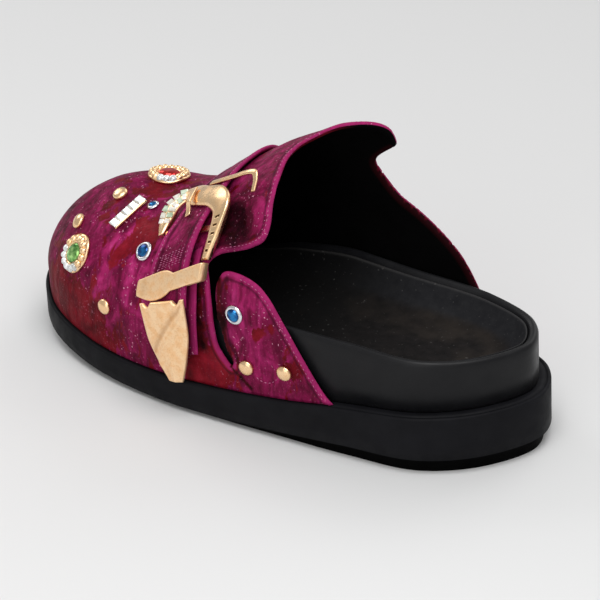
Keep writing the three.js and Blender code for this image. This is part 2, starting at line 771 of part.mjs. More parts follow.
function makeLoop() {
  const over = lineOver(LOOP_LINE);
  const lowAt = alongLine(LOOP_LINE, 'low');
  return patchSolid(...SHEET_STEPS.loop, (u, w, level) => (
    over(u, w * LOOP.half, lowAt(u) + level * LOOP.thickness)
  ));
}

// A closed ring round the strap: along the under side to the toe end, then back over the face
function makeRing(ring, faceHalf) {
  const across = steps(RING_STEPS);
  const insideFrom = ring.fromX + RING_END;
  const insideTo = ring.toX - RING_END;
  const plainHalf = () => ring.plainHalf;
  const way = [
    ...across.map((t) => ({ t, half: plainHalf, out: ring.underLow, into: ring.underHigh })),
    ...across.map((t) => ({ t: 1 - t, half: faceHalf, out: ring.faceHigh, into: ring.faceLow })),
  ];
  const corners = way.map(({ t, half, out, into }) => {
    const outX = mix(ring.fromX, ring.toX, t);
    const intoX = mix(insideFrom, insideTo, t);
    const spread = half(outX) * DEGREES_PER_MM;
    return [
      wrapPoint(ring.wrap + spread, outX, out),
      wrapPoint(ring.wrap - spread, outX, out),
      wrapPoint(ring.wrap - spread, intoX, into),
      wrapPoint(ring.wrap + spread, intoX, into),
    ];
  });
  return loopSolid(corners);
}

// A closed loop through sections of equally many corners
function loopSolid(sections) {
  const size = sections[0].length;
  const triangles = sections.flatMap((section, r) => section.flatMap((_, i) => {
    const here = r * size;
    const there = ((r + 1) % sections.length) * size;
    const next = (i + 1) % size;
    return [[here + i, there + i, there + next], [here + i, there + next, here + next]];
  }));
  return facingOut(sections.flat(), triangles);
}

// A solid from points and triangles, turned round if its faces point inwards
function facingOut(points, triangles) {
  const solid = solidFrom(points, triangles);
  return solid.volume() > 0 ? solid : solidFrom(points, triangles.map(([a, b, c]) => [a, c, b]));
}

// The leaf widens from the neck to its middle and closes to a blunt end
function leafHalfAt(x) {
  if (x < KEEPER.leafFromX) return KEEPER.plainHalf;
  const share = (x - KEEPER.leafFromX) / (KEEPER.toX - KEEPER.leafFromX);
  return mix(KEEPER.plainHalf, KEEPER.leafHalf, Math.sin(Math.PI * share ** KEEPER.leafSkew));
}

// Strap tip: a flat shield with two notches in its upper edge and a ridge down the middle
function makeStrapTip() {
  const top = new THREE.Vector3(TIP.topX, TIP.y, TIP.topZ);
  const end = new THREE.Vector3(TIP.endX, TIP.y + TIP.lean, TIP.endZ);
  const down = end.clone().sub(top);
  const out = new THREE.Vector3(0, 1, 0);
  const across = new THREE.Vector3().crossVectors(out, down).normalize();
  const halfAt = column(TIP_HALF, 'half');
  return patchSolid(...SHEET_STEPS.tip, (u, w, level) => {
    const wave = Math.max(0, Math.cos(TIP.notchWaves * Math.PI * w));
    const notch = TIP.notchDepth * wave * (1 - u) ** TIP.notchFade;
    const middle = Math.abs(w) < TIP.crownHalf ? 0 : notch;
    const reach = u + ((middle - TIP.skew * w) * (1 - u)) / TIP.length;
    const raised = TIP.thickness + TIP.ridge * (1 - Math.abs(w));
    return top.clone()
      .addScaledVector(down, reach)
      .addScaledVector(across, w * halfAt(u))
      .addScaledVector(out, level * raised);
  });
}

// Where a fitting sits on the upper, and which way it faces
const formMesh = new THREE.Mesh(geometryOf(outerForm()));
formMesh.material.side = THREE.DoubleSide;

function castOn(row, shiftA, shiftB) {
  const above = row.from === 'above';
  const from = above
    ? new THREE.Vector3(row.x + shiftA, row.y + shiftB, 2 * FAR)
    : new THREE.Vector3(row.x + shiftA, FAR, row.z + shiftB);
  const towards = above ? new THREE.Vector3(0, 0, -1) : new THREE.Vector3(0, -1, 0);
  return new THREE.Raycaster(from, towards).intersectObject(formMesh)[0].point;
}

function seatOf(row) {
  const reach = SEAT_REACH;
  const alongA = castOn(row, reach, 0).sub(castOn(row, -reach, 0));
  const alongB = castOn(row, 0, reach).sub(castOn(row, 0, -reach));
  const normal = new THREE.Vector3().crossVectors(alongA, alongB).normalize();
  if (row.from === 'outside') normal.negate();
  const around = [-reach, reach].flatMap((d) => [castOn(row, d, 0), castOn(row, 0, d)]);
  const centre = castOn(row, 0, 0);
  const highest = Math.max(...[centre, ...around].map((p) => p.dot(normal)));
  return { centre: centre.addScaledVector(normal, highest - centre.dot(normal) + GAP), normal };
}

// Lowers each point of a set shape by the upper's fall below the seat, so that the gap is even all round
function drape(geometry, seat) {
  const position = geometry.getAttribute('position');
  const inwards = seat.normal.clone().negate();
  for (let i = 0; i < position.count; i += 1) {
    const point = new THREE.Vector3().fromBufferAttribute(position, i);
    const from = point.clone().addScaledVector(seat.normal, FAR);
    const under = new THREE.Raycaster(from, inwards).intersectObject(formMesh)[0].point;
    point.addScaledVector(seat.normal, under.sub(seat.centre).dot(seat.normal) + GAP);
    position.setXYZ(i, point.x, point.y, point.z);
  }
}

// A turned shape set on a seat, stretched to an oval along and across the foot
function setOn(seat, profile, segments, along, across) {
  const geometry = new THREE.LatheGeometry(profile.map(([r, h]) => new THREE.Vector2(r, h)), segments);
  geometry.scale(along, 1, across);
  const sideways = new THREE.Vector3(0, 1, 0);
  const forward = new THREE.Vector3().crossVectors(seat.normal, sideways).normalize();
  const long3 = new THREE.Vector3().crossVectors(forward, seat.normal).normalize();
  const basis = new THREE.Matrix4().makeBasis(forward, seat.normal, long3.negate());
  geometry.applyMatrix4(basis.setPosition(seat.centre));
  drape(geometry, seat);
  const solid = solidOf(geometry);
  return solid.volume() > 0 ? solid : solidOf(flipped(geometry));
}

function flipped(geometry) {
  const turned = geometry.clone();
  const index = turned.index.array;
  for (let i = 0; i < index.length; i += 3) [index[i], index[i + 1]] = [index[i + 1], index[i]];
  return turned;
}

function makeStone(row) {
  const seat = seatOf(row);
  const kind = STONE_SETS[row.set];
  const narrow = Math.min(kind.along, kind.across);
  const inside = 1 - kind.rim / narrow;
  const loose = inside - GAP / narrow;
  const bezel = [
    [inside, 0],
    [mix(inside, 1, BEZEL.crest), 0],
    [1, 0],
    [1, kind.height * BEZEL.shoulder],
    [mix(inside, 1, BEZEL.crest), kind.height],
    [inside, kind.height * BEZEL.lip],
    [inside, 0],
  ];
  const stone = [
    [0, STONE_CUT.lift],
    [loose * STONE_CUT.table, STONE_CUT.lift],
    [loose, STONE_CUT.lift],
    [loose, kind.height * STONE_CUT.girdle],
    [loose * STONE_CUT.table, kind.height * STONE_CUT.tableHeight],
    [0, kind.height * STONE_CUT.peak],
  ];
  const set = (profile, sides) => setOn(seat, profile, sides, kind.along, kind.across);
  return [
    { name: `bezel_${row.name}`, look: kind.metal, solid: set(bezel, BEZEL.sides) },
    { name: `stone_${row.name}`, look: kind.stone, solid: set(stone, STONE_CUT.sides) },
  ];
}

function makeStud(row) {
  const dome = steps(STUD.domeSteps).map((t) => {
    const angle = (t * Math.PI) / 2;
    return [Math.cos(angle), STUD.base + (STUD.height - STUD.base) * Math.sin(angle)];
  });
  const profile = [[0, 0], [1, 0], ...dome.slice(0, -1), [0, STUD.height]];
  const solid = setOn(seatOf(row), profile, STUD.sides, STUD.radius, STUD.radius);
  return { name: row.name, look: 'gold', solid };
}

// Bar of crystals: a gold tray and one strip of five pointed stones on it
function makeCrystalBar() {
  const from = seatOf({ from: 'above', ...CRYSTAL_BAR.from });
  const to = seatOf({ from: 'above', ...CRYSTAL_BAR.to });
  const normal = from.normal.clone().add(to.normal).normalize();
  const along = to.centre.clone().sub(from.centre);
  const side = new THREE.Vector3().crossVectors(normal, along).normalize();
  const base = from.centre.clone().addScaledVector(normal, CRYSTAL_BAR.bulge);
  const at = (u, w, height) => base.clone()
    .addScaledVector(along, u)
    .addScaledVector(side, w * CRYSTAL_BAR.half)
    .addScaledVector(normal, height);
  const tray = patchSolid(...SHEET_STEPS.tray, (u, w, level) => at(u, w, level * CRYSTAL_BAR.tray));
  const bottom = CRYSTAL_BAR.tray + GAP;
  const stones = patchSolid(2 * CRYSTAL_BAR.stones, CRYSTAL_BAR.acrossSteps, (u, w, level) => {
    const peak = Math.abs(Math.sin(u * CRYSTAL_BAR.stones * Math.PI)) * (1 - Math.abs(w) ** 2);
    const along01 = mix(CRYSTAL_BAR.endMargin, 1 - CRYSTAL_BAR.endMargin, u);
    const height = bottom + level * (CRYSTAL_BAR.girdle + CRYSTAL_BAR.peak * peak);
    return at(along01, w * CRYSTAL_BAR.width, height);
  });
  return [
    { name: 'crystal_tray', look: 'gold', solid: tray },
    { name: 'crystal_stones', look: 'crystal', solid: stones },
  ];
}

// Assembly
const LOOKS = {
  rubber: { color: 0x17171a, roughness: 0.75, metalness: 0 },
  wrap: { color: 0x1b1b1d, roughness: 0.5, metalness: 0 },
  sock: { color: 0x131313, roughness: 0.9, metalness: 0 },
  brocade: { color: 0x8a1c46, roughness: 0.6, metalness: 0 },
  gold: { color: 0xd9a85c, roughness: 0.3, metalness: 1 },
  silver: { color: 0xc9ccd2, roughness: 0.25, metalness: 1 },
  green: { color: 0x3f9a3a, roughness: 0.1, metalness: 0 },
  red: { color: 0xb01620, roughness: 0.1, metalness: 0 },
  blue: { color: 0x2a5fb0, roughness: 0.1, metalness: 0 },
  crystal: { color: 0xe8eef0, roughness: 0.08, metalness: 0 },
};

const PIECES = [
  { name: 'outsole', look: 'rubber', solid: makeOutsole() },
  { name: 'footbed', look: 'wrap', solid: makeFootbed() },
  { name: 'insole', look: 'sock', solid: makeInsole() },
  { name: 'upper', look: 'brocade', solid: makeUpper() },
  { name: 'under_strap', look: 'brocade', solid: makeUnderStrap() },
  { name: 'tip_strap', look: 'brocade', solid: makeTipStrap() },
  { name: 'buckle_frame', look: 'gold', solid: makeBuckleFrame() },
  { name: 'buckle_prong', look: 'gold', solid: makeProng() },
  { name: 'buckle_crystals', look: 'crystal', solid: makeLegCrystals() },
  { name: 'buckle_loop', look: 'gold', solid: makeLoop() },
  { name: 'keeper', look: 'gold', solid: makeRing(KEEPER, leafHalfAt) },
  { name: 'strap_tip', look: 'gold', solid: makeStrapTip() },
  ...STONES.flatMap(makeStone),
  ...makeCrystalBar(),
  ...STUDS.map(makeStud),
];

function geometryOf(solid) {
  const mesh = solid.getMesh();
  const geometry = new THREE.BufferGeometry();
  const values = new Float32Array(mesh.vertProperties);
  geometry.setAttribute('position', new THREE.BufferAttribute(values, 3));
  geometry.setIndex(new THREE.BufferAttribute(new Uint32Array(mesh.triVerts), 1));
  geometry.computeVertexNormals();
  return geometry;
}

function meshOf(piece) {
  const node = new THREE.Mesh(geometryOf(piece.solid), new THREE.MeshStandardMaterial(LOOKS[piece.look]));
  node.name = piece.name;
  return node;
}

const clog = new THREE.Group();
clog.name = 'clog';
PIECES.forEach((piece) => clog.add(meshOf(piece)));

const bounds = new THREE.Box3().setFromObject(clog);
const middle = bounds.getCenter(new THREE.Vector3());
clog.children.forEach((node) => node.geometry.translate(-middle.x, -middle.y, -bounds.min.z));

export default clog;
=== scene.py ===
import math
from collections import namedtuple
from types import SimpleNamespace as Group

import bmesh
import bpy
import numpy as np
from mathutils import Matrix, Vector
from mathutils.bvhtree import BVHTree


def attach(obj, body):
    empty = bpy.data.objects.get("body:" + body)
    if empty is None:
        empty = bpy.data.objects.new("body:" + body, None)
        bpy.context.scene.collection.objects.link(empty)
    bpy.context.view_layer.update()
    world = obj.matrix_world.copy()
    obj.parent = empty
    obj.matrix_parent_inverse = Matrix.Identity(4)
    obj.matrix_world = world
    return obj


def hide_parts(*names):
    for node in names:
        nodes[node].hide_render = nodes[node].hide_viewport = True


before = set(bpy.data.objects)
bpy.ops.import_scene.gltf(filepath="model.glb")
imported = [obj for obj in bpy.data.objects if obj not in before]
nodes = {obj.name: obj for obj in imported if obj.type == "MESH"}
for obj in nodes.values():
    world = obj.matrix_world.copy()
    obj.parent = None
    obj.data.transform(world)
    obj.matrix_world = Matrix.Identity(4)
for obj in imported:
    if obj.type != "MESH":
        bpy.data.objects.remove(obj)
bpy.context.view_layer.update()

# Sizes are millimetres from the heel back, +y to the outer side, z up from the floor
HEEL_TO_PART = np.array([-123.0, 1.65, 0.0])
# Clearance between pieces, and the distance under which points become one
GAP = 0.3
WELD = 0.002

# Sole: columns of the outline are point, x, y
OUTLINE = [
    ("heel_back", 0, -3),
    ("heel_back_outer", 13, 22),
    ("heel_outer", 36, 38),
    ("waist_rear_outer", 68, 41.4),
    ("waist_outer", 100, 42),
    ("waist_front_outer", 133, 42),
    ("ball_outer", 160, 40.6),
    ("little_toe", 201, 32),
    ("toe_outer", 230, 16.5),
    ("toe_tip", 246, -8),
    ("toe_inner", 238.5, -30),
    ("big_toe", 215, -44.5),
    ("ball_inner", 178, -52),
    ("arch_front", 145, -47.5),
    ("arch_mid", 108, -40),
    ("arch_rear", 74, -36.5),
    ("heel_inner", 36, -35.5),
    ("heel_back_inner", 9, -24),
]
# Columns: x, height of the wall before the toe spring
SOLE_WALL = [
    (0, 26.6), (30, 26.2), (73, 22.6), (95, 19.2),
    (122, 16.4), (150, 14.7), (180, 13.7), (246, 13.5),
]
# Columns: x, height of the recessed tread band
TREAD_BAND = [(0, 6.6), (60, 6), (110, 3), (150, 1.8), (246, 1.8)]
# Columns: inset, depth below the sole's top, for the rounded edge and the fine lip line on the ledge
LEDGE_RINGS = [
    (0, 1.1), (0.15, 0.5), (0.6, 0.12), (1.1, 0), (1.5, 0),
    (1.62, 0.45), (2.1, 0.45), (2.25, 0), (4, 0),
]
SPRING = Group(rise=7, start=165, run=81)
SOLE = Group(
    floor_inset=3.2,
    tread_inset=2,
    step_rise=0.4,
    lip_inset=0.5,
    lip_drop=0.3,
    wall_shares=(0.33, 0.66),
    samples=200,
    floor_columns=40,
    weld=0.01,
)
# Painted shade on the lowest rings, for the shadow over the recessed tread band: the tread's edge, the top
# of its band, the lip over it
TREAD_SHADES = [1.0, 1.0, 0.6]
WAIST = Group(start=96, end=126, depth=1.6, half=28)
GROOVES = Group(stations=[24, 42, 60, 78, 140, 156], width=3, depth=1.4, half=24)

# Footbed: columns are x, top of the rim, floor of the cup
BED = [
    (0, 48, 37),
    (35, 49, 35),
    (70, 51, 36),
    (100, 51.5, 36),
    (135, 44, 31),
    (155, 36, 27),
    (175, 30, 24),
    (215, 30, 24.5),
    (246, 34, 28),
]
# Columns: inset from the sole's outline, share of the way from rim to floor
BED_RINGS = [
    (5, 0.16), (5.6, 0.05), (6.8, 0), (8.4, 0.06), (9.6, 0.2),
    (13, 0.6), (17, 0.87), (21, 0.97), (25, 1),
]
BED_FOOT = Group(inset=0.5, rise=0.6)
BED_STEPS = Group(wall=(0.5, 0.85, 1), rim=16, cup=18)
INSOLE = Group(inset=9.6, gap=0.5, thickness=1.4, rings=22, soft=0.5, lip=0.02, under_edge=9.0)

# Upper: columns are x, crest y, crest z, fullness of the outer and inner flank, upright wall
LAST = [
    (16, -12, 119, 2, 3.4, 30),
    (60, -12, 121, 2, 3.4, 30),
    (85, -12, 120.5, 2, 3.5, 31),
    (100, -12, 117.5, 2, 3.3, 32),
    (112, -11, 111.6, 2, 3, 32),
    (124, -10, 105.4, 2, 2.8, 30),
    (136, -10, 97.4, 2, 2.6, 26),
    (148, -9, 88.4, 2.05, 2.5, 21),
    (158, -9, 80.5, 2.1, 2.4, 18),
    (170, -9, 75, 2.3, 2.6, 16),
    (182, -9, 72.3, 2.3, 2.75, 14),
    (197, -9, 73.6, 1.55, 1.55, 10),
]
# Columns: x, y of the collar seen from above
COLLAR_PLAN = [
    (-20, 70), (107, 70), (107, 26), (109.4, 19.6), (111.6, 11), (113.6, 0), (111.5, -9),
    (103, -16.5), (93, -21.5), (86, -24.5), (82.6, -27.5), (81.6, -32), (81.6, -70), (-20, -70),
]
# Columns: x, z of the opening seen from the outer side: flap, slit, wing
OUTER_EDGE = [
    (-20, 106), (110.6, 106), (109.6, 100), (107, 92), (108, 86), (113.4, 82), (130, 74.2),
    (134, 69.6), (132, 63), (130, 54), (128.8, 43.6), (126.8, 35), (121.4, 28), (120.4, 29.2),
    (123.6, 36), (125.6, 45), (127.4, 54), (128.2, 63), (125.4, 69.2), (118, 70.6), (108.6, 68.8),
    (102.4, 64.4), (95.7, 55.4), (88.5, 43.6), (82.7, 34.4), (77, 26.2), (71, 20), (66, 5), (-20, 5),
]
# Columns: x, z of the opening seen from the inner side
INNER_EDGE = [
    (-20, 98), (60, 109), (78, 110), (83, 106.6), (94, 95.6), (90, 88.8), (83, 81.8), (74, 77),
    (65.3, 71), (56, 62.2), (50, 53.6), (42, 37), (36, 24), (32, 5), (-20, 5),
]
# Height above which the collar is cut, and the y that parts the outer edge from the inner one
COLLAR_FROM_Z = 98
SPLIT_Y = -12
# Points that are measured against the cut edges in one go
AT_ONCE = 4000
UPPER = Group(wall=2.2, inset=1.8, rear=20, fan=182, spine_end=197)
# Where the grid is finer for the cut edges, stations in each span from rear to toe, rows up each side
UPPER_GRID = Group(
    cut_from=30,
    cut_to=137,
    rear=6,
    cut=150,
    front=36,
    fan=56,
    upright=22,
    arch=112,
)
EDGE = Group(
    span_steps=8,
    snap=0.04,
    roll=1.2,
    hem_width=3.0,
    hem_soft=0.8,
    hem_rise=0.35,
    stitch_at=1.7,
    stitch_soft=0.7,
    stitch_dip=0.35,
    lining_share=0.6,
    weld=0.004,
)
# The red band inside the collar: where it starts and is full along the flap, and its share on the quarter
BAND = Group(start=94, full=108, quarter=0.12)
# Soft creases of the cloth: side, centre x and z, direction in degrees, half length, half width, depth
CREASES = [
    ("outer", 123, 52, 94, 17, 1.5, 1.0),
    ("outer", 126, 50, 98, 14, 1.3, -0.5),
    ("outer", 117, 40, 118, 13, 2.4, 0.7),
    ("outer", 111, 46, 125, 10, 2.6, -0.5),
    ("outer", 139, 40, 84, 14, 2.4, 0.6),
    ("outer", 166, 40, 70, 15, 4.5, 0.6),
    ("outer", 178, 36, 60, 14, 4.5, -0.5),
    ("outer", 123, 87, 55, 11, 6.0, 2.2),
    ("outer", 190, 52, 75, 12, 2.6, 0.5),
    ("outer", 172, 55, 82, 12, 2.6, 0.5),
    ("outer", 133, 30, 40, 12, 2.2, 0.5),
    ("inner", 150, 55, 70, 22, 6.0, 0.7),
    ("inner", 135, 60, 65, 24, 5.0, -0.6),
]
# A crease fades out across the middle between these distances from it
CREASE_FADE = (-4, 6)
# The cloth's larger patches: x, y, z, radius, how much redder and how much lighter; the flap's darkest ones
# are painted shade
PATCHES = [
    (221, 21, 21, 20, 0.34, -0.08),
    (202, 30, 21, 15, 0.28, -0.05),
    (185, 35, 23, 11, 0.10, 0.0),
    (173, 18, 68, 9, 0.26, 0.02),
    (184, 25, 59, 9, 0.24, 0.0),
    (192, 28, 53, 6, 0.14, 0.0),
    (201, 8, 67, 6, 0.16, 0.0),
    (186, -9, 72, 12, 0.16, -0.06),
    (128, 40, 25, 10, 0.24, 0.06),
    (140, 41, 26, 10, 0.2, 0.04),
    (107, 40, 46, 4, 0.28, 0.0),
    (102, 40, 52, 3, 0.24, 0.0),
    (90, 40, 36, 6, 0.24, -0.04),
    (224, -3, 59, 14, -0.06, -0.08),
    (231, 5, 46, 12, 0.0, -0.1),
    (197, -6, 73, 12, -0.02, -0.06),
    (113, 39, 60, 12, -0.12, 0.06),
    (107, 40, 37, 10, -0.08, 0.1),
    # Painted shade in the flap's hollow under the buckle
    (125, 27, 86, 9, 0.05, -0.6),
    (131, 25, 92, 8, 0.0, -0.4),
    (112, 25, 94, 9, -0.06, 0.04),
    (118, 8, 104, 12, -0.06, 0.02),
    (160, -22, 76, 18, 0.08, -0.04),
]
# Strokes on the outer flank: x and z of both ends, half width, how much lighter, below 0 for a dark stroke
# of painted shade in a fold, a gap or beside the strap
STROKES = [
    (189, 51, 194, 38, 2.6, 0.26),
    (174, 56, 176, 42, 2.8, 0.26),
    (188, 62, 192, 56, 2.0, 0.22),
    (180, 68, 184, 62, 1.8, 0.18),
    (166, 50, 167, 38, 2.0, 0.16),
    (118, 62, 114, 44, 2.4, 0.16),
    # Painted shade in the overlap below the slit and in the creases beside it
    (121.5, 28, 116.5, 24, 0.6, -0.55),
    (116.5, 24, 111.3, 19.8, 0.6, -0.5),
    (123, 68, 123.5, 46, 0.9, -0.22),
    (120.5, 40, 117, 30, 0.8, -0.22),
    # Painted shadow of the strap on the vamp, and painted shade along the slit
    (138, 66, 135, 34, 2.4, -0.45),
    (126.6, 66, 125.4, 48, 1.8, -0.4),
    (125, 46, 120.6, 31, 1.4, -0.4),
]
# Share of a stroke's lightness that is taken from the red
STROKE_RED = 0.5

# Stitches
STITCH = Group(
    length=1.1,
    pitch=2.0,
    radius=0.2,
    end=0.15,
    lift=0.08,
    sides=6,
    rings=5,
    shortest_line=8,
)
# No stitches show along the slit: x from which and z under which it lies
SLIT = Group(x=118, z=76)
# A short chain of stitches between the wing's studs: x and z on the outer flank
WING_CHAIN = [(110, 27.4), (107.6, 25.6), (104.6, 25), (101.8, 25.8), (99.4, 27.8), (97.6, 30)]
CHAIN_STEPS = 6

# Straps: wrap degrees round the rib, x of the strap's middle, lift off the upper
STRAP_LINE = [
    (12, 149.4, 4.1),
    (25, 150.4, 4.2),
    (34, 150.8, 4.1),
    (46, 150.6, 3.2),
    (58, 148.6, 2.4),
    (72, 147.4, 2.2),
    (90, 147.6, 1),
    (136, 149, 0.7),
]
STRAP = Group(half=10.3, thickness=1.9, edge_share=0.8, red=-0.08)
STRAP_HEM = Group(edge=(3.6, 4.4), rise=0.3, groove_at=2.2, groove_half=0.6, groove=0.2)
STRAP_SEAM = Group(start=0.02, end=0.98, steps=160, lift=0.1)
# Stitched tack across the strap above the keeper: its wraps, rows, and reach to the heel and toe
TACK = Group(low=32.6, high=38.6, rows=7, rear=-6.8, front=8.4, steps=24)
UNDER_STRAP = Group(half=10.3, shift=-2.6, start=-40, end=38, low=0.6, high=1.8)

# Metal: the horseshoe's wrap, x of its middle line, half width, low and high face
BUCKLE_LINE = [
    (50, 162.8, 1.5, 1.5, 3.6),
    (57, 163.6, 3.1, 2, 4.4),
    (65, 163, 4.1, 4.7, 6.2),
    (70.5, 158, 4, 4.8, 6.6),
    (64.5, 148.5, 4.2, 4.8, 6.6),
    (58.5, 138, 4.1, 5, 6.6),
    (52, 132.6, 4, 3, 5.8),
    (41, 132, 3.2, 1.6, 4.6),
    (30, 133.8, 2.2, 1.2, 3.6),
]
BUCKLE = Group(crown=1.2, line_steps=60)
# Ends are wrap and x
BAR = Group(start=(44, 131.8), end=(52, 162.4), half=1.3, low=0.9, high=2.3)
PRONG = Group(
    start=(55.5, 151.2),
    end=(69, 152.8),
    half=1.3,
    taper=0.3,
    over_arch=60.5,
    thickness=1.3,
)
# Pits on the rear leg: where they lie along the horseshoe, how many, how deep and how wide
LEG_PITS = Group(start=0.8, end=0.985, count=5, deep=0.45, half=0.24, soft=0.12, open=(0.35, 0.7))
# Crystals on the front leg: where they lie along the horseshoe, how many, and their size in it
LEG_CRYSTALS = Group(
    start=0.1,
    end=0.36,
    stones=6,
    rows=2,
    margin=0.85,
    fill=0.92,
    height=0.75,
    sunk=0.5,
)
# Wire loop: wrap, x of its middle line, low face
LOOP_LINE = [
    (72, 148, 4.5),
    (69.4, 141, 4.5),
    (67.2, 134, 4.6),
    (66, 127, 4.6),
    (64.6, 122.4, 4.1),
    (61.5, 121, 2.4),
    (57, 120.8, 0.4),
]
LOOP = Group(half=1.1, thickness=1.4)
KEEPER = Group(
    wrap=25,
    start=132,
    end=164.5,
    plain=3.2,
    leaf=5.4,
    leaf_start=147,
    skew=0.8,
    under=(2.2, 3.6),
    face=(6.6, 8),
    wall=1.4,
    steps=60,
    section=20,
)
# Stipple on the keeper's wide end: where it fades in and out, its dots and depth
LEAF_GRAIN = Group(
    fade_in=(0.46, 0.56),
    fade_out=(0.98, 0.92),
    rim=(1.0, 0.85),
    face=0.55,
    dot=(0.1, 0.8),
    along=190,
    across=17,
    deep=0.09,
)
DEGREES_PER_MM = 1.15
TIP = Group(
    top=(150, 45, 54),
    end=(144, 46, 18),
    length=37,
    thickness=1.8,
    ridge=0.9,
    notch=2,
    waves=3,
    fade=4,
    crown=0.2,
    skew=2,
    side_rim=(0.97, 0.85),
    top_rim=(0.02, 0.08),
)
TIP_HALF = [(0, 11.4), (0.4, 10.6), (0.75, 7), (1, 3.2)]
# The tip's slanting fold: where it lies at the top and the end, then distance from it, half width, height;
# the trough takes the recess colour as painted shade
TIP_FOLD_AT = (-1.2, 1.9)
TIP_FOLD = [(-0.3, 0.2, 0.7), (0.15, 0.22, -0.17)]
TIP_HATCH = Group(along=150, across=26, deep=0.03, fade_in=(0.1, 0.5))

# Sheets: points along and across, then the share along and across over which the rim is rounded
SHEETS = {
    "under_strap_cloth": (60, 36, 0.02, 0.1),
    "tip_strap_cloth": (150, 44, 0.012, 0.14),
    "buckle_frame_gilt": (300, 34, 0.012, 0.3),
    "bar": (40, 12, 0.04, 0.5),
    "buckle_prong_gilt": (60, 14, 0.06, 0.7),
    "buckle_loop_gilt": (120, 14, 0.02, 0.9),
    "strap_tip_gilt": (130, 70, 0.03, 0.1),
    "crystal_tray_gilt": (40, 16, 0.04, 0.2),
}

# Stones: beads round the bezel, way in which they are clear, within how many degrees of it, gem colour
STONES = {
    "green_toe": (14, (0.7, 0.3, -0.65), 75, "green"),
    "red_vamp": (16, (-0.3, 0.95, 0), 40, "red"),
    "blue_vamp": (0, (0, 0, 1), 0, "blue"),
    "blue_bar": (0, (0, 0, 1), 0, "blue"),
    "blue_wing": (0, (0, 0, 1), 0, "blue"),
}
STUDS = ("stud_toe_top", "stud_toe_outer", "stud_vamp_side", "stud_wing_front", "stud_wing_rear")
# Profiles: radius and height, as shares
AXIS = 1e-3
STONE_CROWN = [(AXIS, 0.05), (1, 0.05), (1, 0.72), (0.86, 0.98), (0.62, 1.14), (0.36, 1.2), (AXIS, 1.21)]
BAR_STONE = [(AXIS, 0), (1, 0), (1, 0.55), (0.66, 1), (AXIS, 1)]
LEG_STONE = [(AXIS, 0), (0.96, 0), (0.96, 0.55), (0.66, 1), (AXIS, 1)]
STUD_FOOT = [(AXIS, 0), (0.98, 0), (1.0, 0.1), (1.0, 0.22)]
STUD = Group(height=2.2, shoulder=0.32, sides=32, dome_steps=12, pole=0.01)
STONE = Group(height=0.86, play=0.02, sides=14, bezel_sides=48)
BEAD = Group(fill=0.94, middle=0.52, height=0.5, rings=7, sides=10, pole=0.02)
CRYSTAL_BAR = Group(stones=5, length=0.47, wide=0.84, height=1.3, sunk=0.4)
# A point inside the shoe, a y beyond its outer flank, and a distance above any seat
INSIDE = np.array([165.0, -9.0, 30.0])
FLANK_Y = 80.0
REACH = 20.0

# Colours are linear, and ramps are rows of place and colour
MAGENTA = [
    (0.05, (0.012, 0.0008, 0.003)),
    (0.3, (0.075, 0.003, 0.017)),
    (0.5, (0.19, 0.007, 0.052)),
    (0.66, (0.33, 0.015, 0.105)),
    (0.9, (0.52, 0.04, 0.2)),
]
CRIMSON = [
    (0.05, (0.012, 0.0005, 0.001)),
    (0.3, (0.075, 0.002, 0.005)),
    (0.55, (0.17, 0.004, 0.011)),
    (0.8, (0.26, 0.009, 0.022)),
]
# Colours laid over the cloth: the fold colour is a painted highlight along rolled edges, the piping colour
# the quarter's trim lightened to a painted highlight, the speck colour painted glints of the metal thread
CLOTH = {
    "streak": (0.05, 0.002, 0.012),
    "fold_highlight": (0.40, 0.024, 0.15),
    "seam": (0.03, 0.002, 0.01),
    "piping_and_highlight": (0.2, 0.009, 0.045),
    "glint": (0.68, 0.28, 0.40),
}
LINING_BLACK = [(0.3, (0.0006, 0.0006, 0.0006)), (0.7, (0.0016, 0.0014, 0.0015))]
LINING_RED = (0.11, 0.004, 0.012)
RUBBER_BLACK = [(0.3, (0.004, 0.004, 0.005)), (0.7, (0.008, 0.008, 0.010))]
WRAP_BLACK = [(0.3, (0.004, 0.004, 0.005)), (0.7, (0.008, 0.008, 0.009))]
SHADED_BLACK = (0.0006, 0.0006, 0.0007)
# The sock is lighter up the cup's wall than on its floor: painted light and shade for the cup's depth
SOCK_WALL = [(0.3, (0.010, 0.010, 0.012)), (0.72, (0.018, 0.018, 0.020))]
SOCK_FLOOR = [(0.3, (0.004, 0.0035, 0.0035)), (0.72, (0.012, 0.010, 0.010))]
# Colours laid over the sock: worn and rubbed are wear, fresh is painted shadow under the instep
SOCK_WEAR_AND_SHADOW = {
    "worn": (0.029, 0.023, 0.019),
    "painted_front_shadow": (0.0016, 0.0015, 0.0016),
    "rubbed": (0.075, 0.072, 0.070),
}
THREAD_PLUM = [(0.3, (0.30, 0.04, 0.13)), (0.7, (0.52, 0.14, 0.28))]
# The floor's grey runs darker towards the back: painted light falloff
FLOOR_GREY = [(0.0, (0.60, 0.60, 0.60)), (1.0, (0.74, 0.74, 0.74))]

# Studio, in metres and watts: columns of the lights are name, place, size, watts
LIGHTS = [
    ("key_over", (-0.35, 0.35, 1.3), 0.9, 11),
    ("fill_outer", (-0.2, 1.4, 0.7), 1.2, 5),
    ("rim_toe", (1.1, -0.3, 0.8), 0.7, 3.5),
    ("back_inner", (-0.2, -1.2, 0.9), 0.9, 3.5),
]
LIGHT_AIM = (0, 0, 0.05)
STUDIO = Group(floor_reach=6.0, sky=(0.94, 0.94, 0.94, 1), sky_strength=0.5)
CAMERA = Group(
    place=(-0.6784, 1.02675, 0.7387),
    aim=(0.47419, -0.72794, -0.49522),
    up=(0.23026, -0.44037, 0.86779),
    lens_mm=204.0,
    sensor_mm=36.0,
)


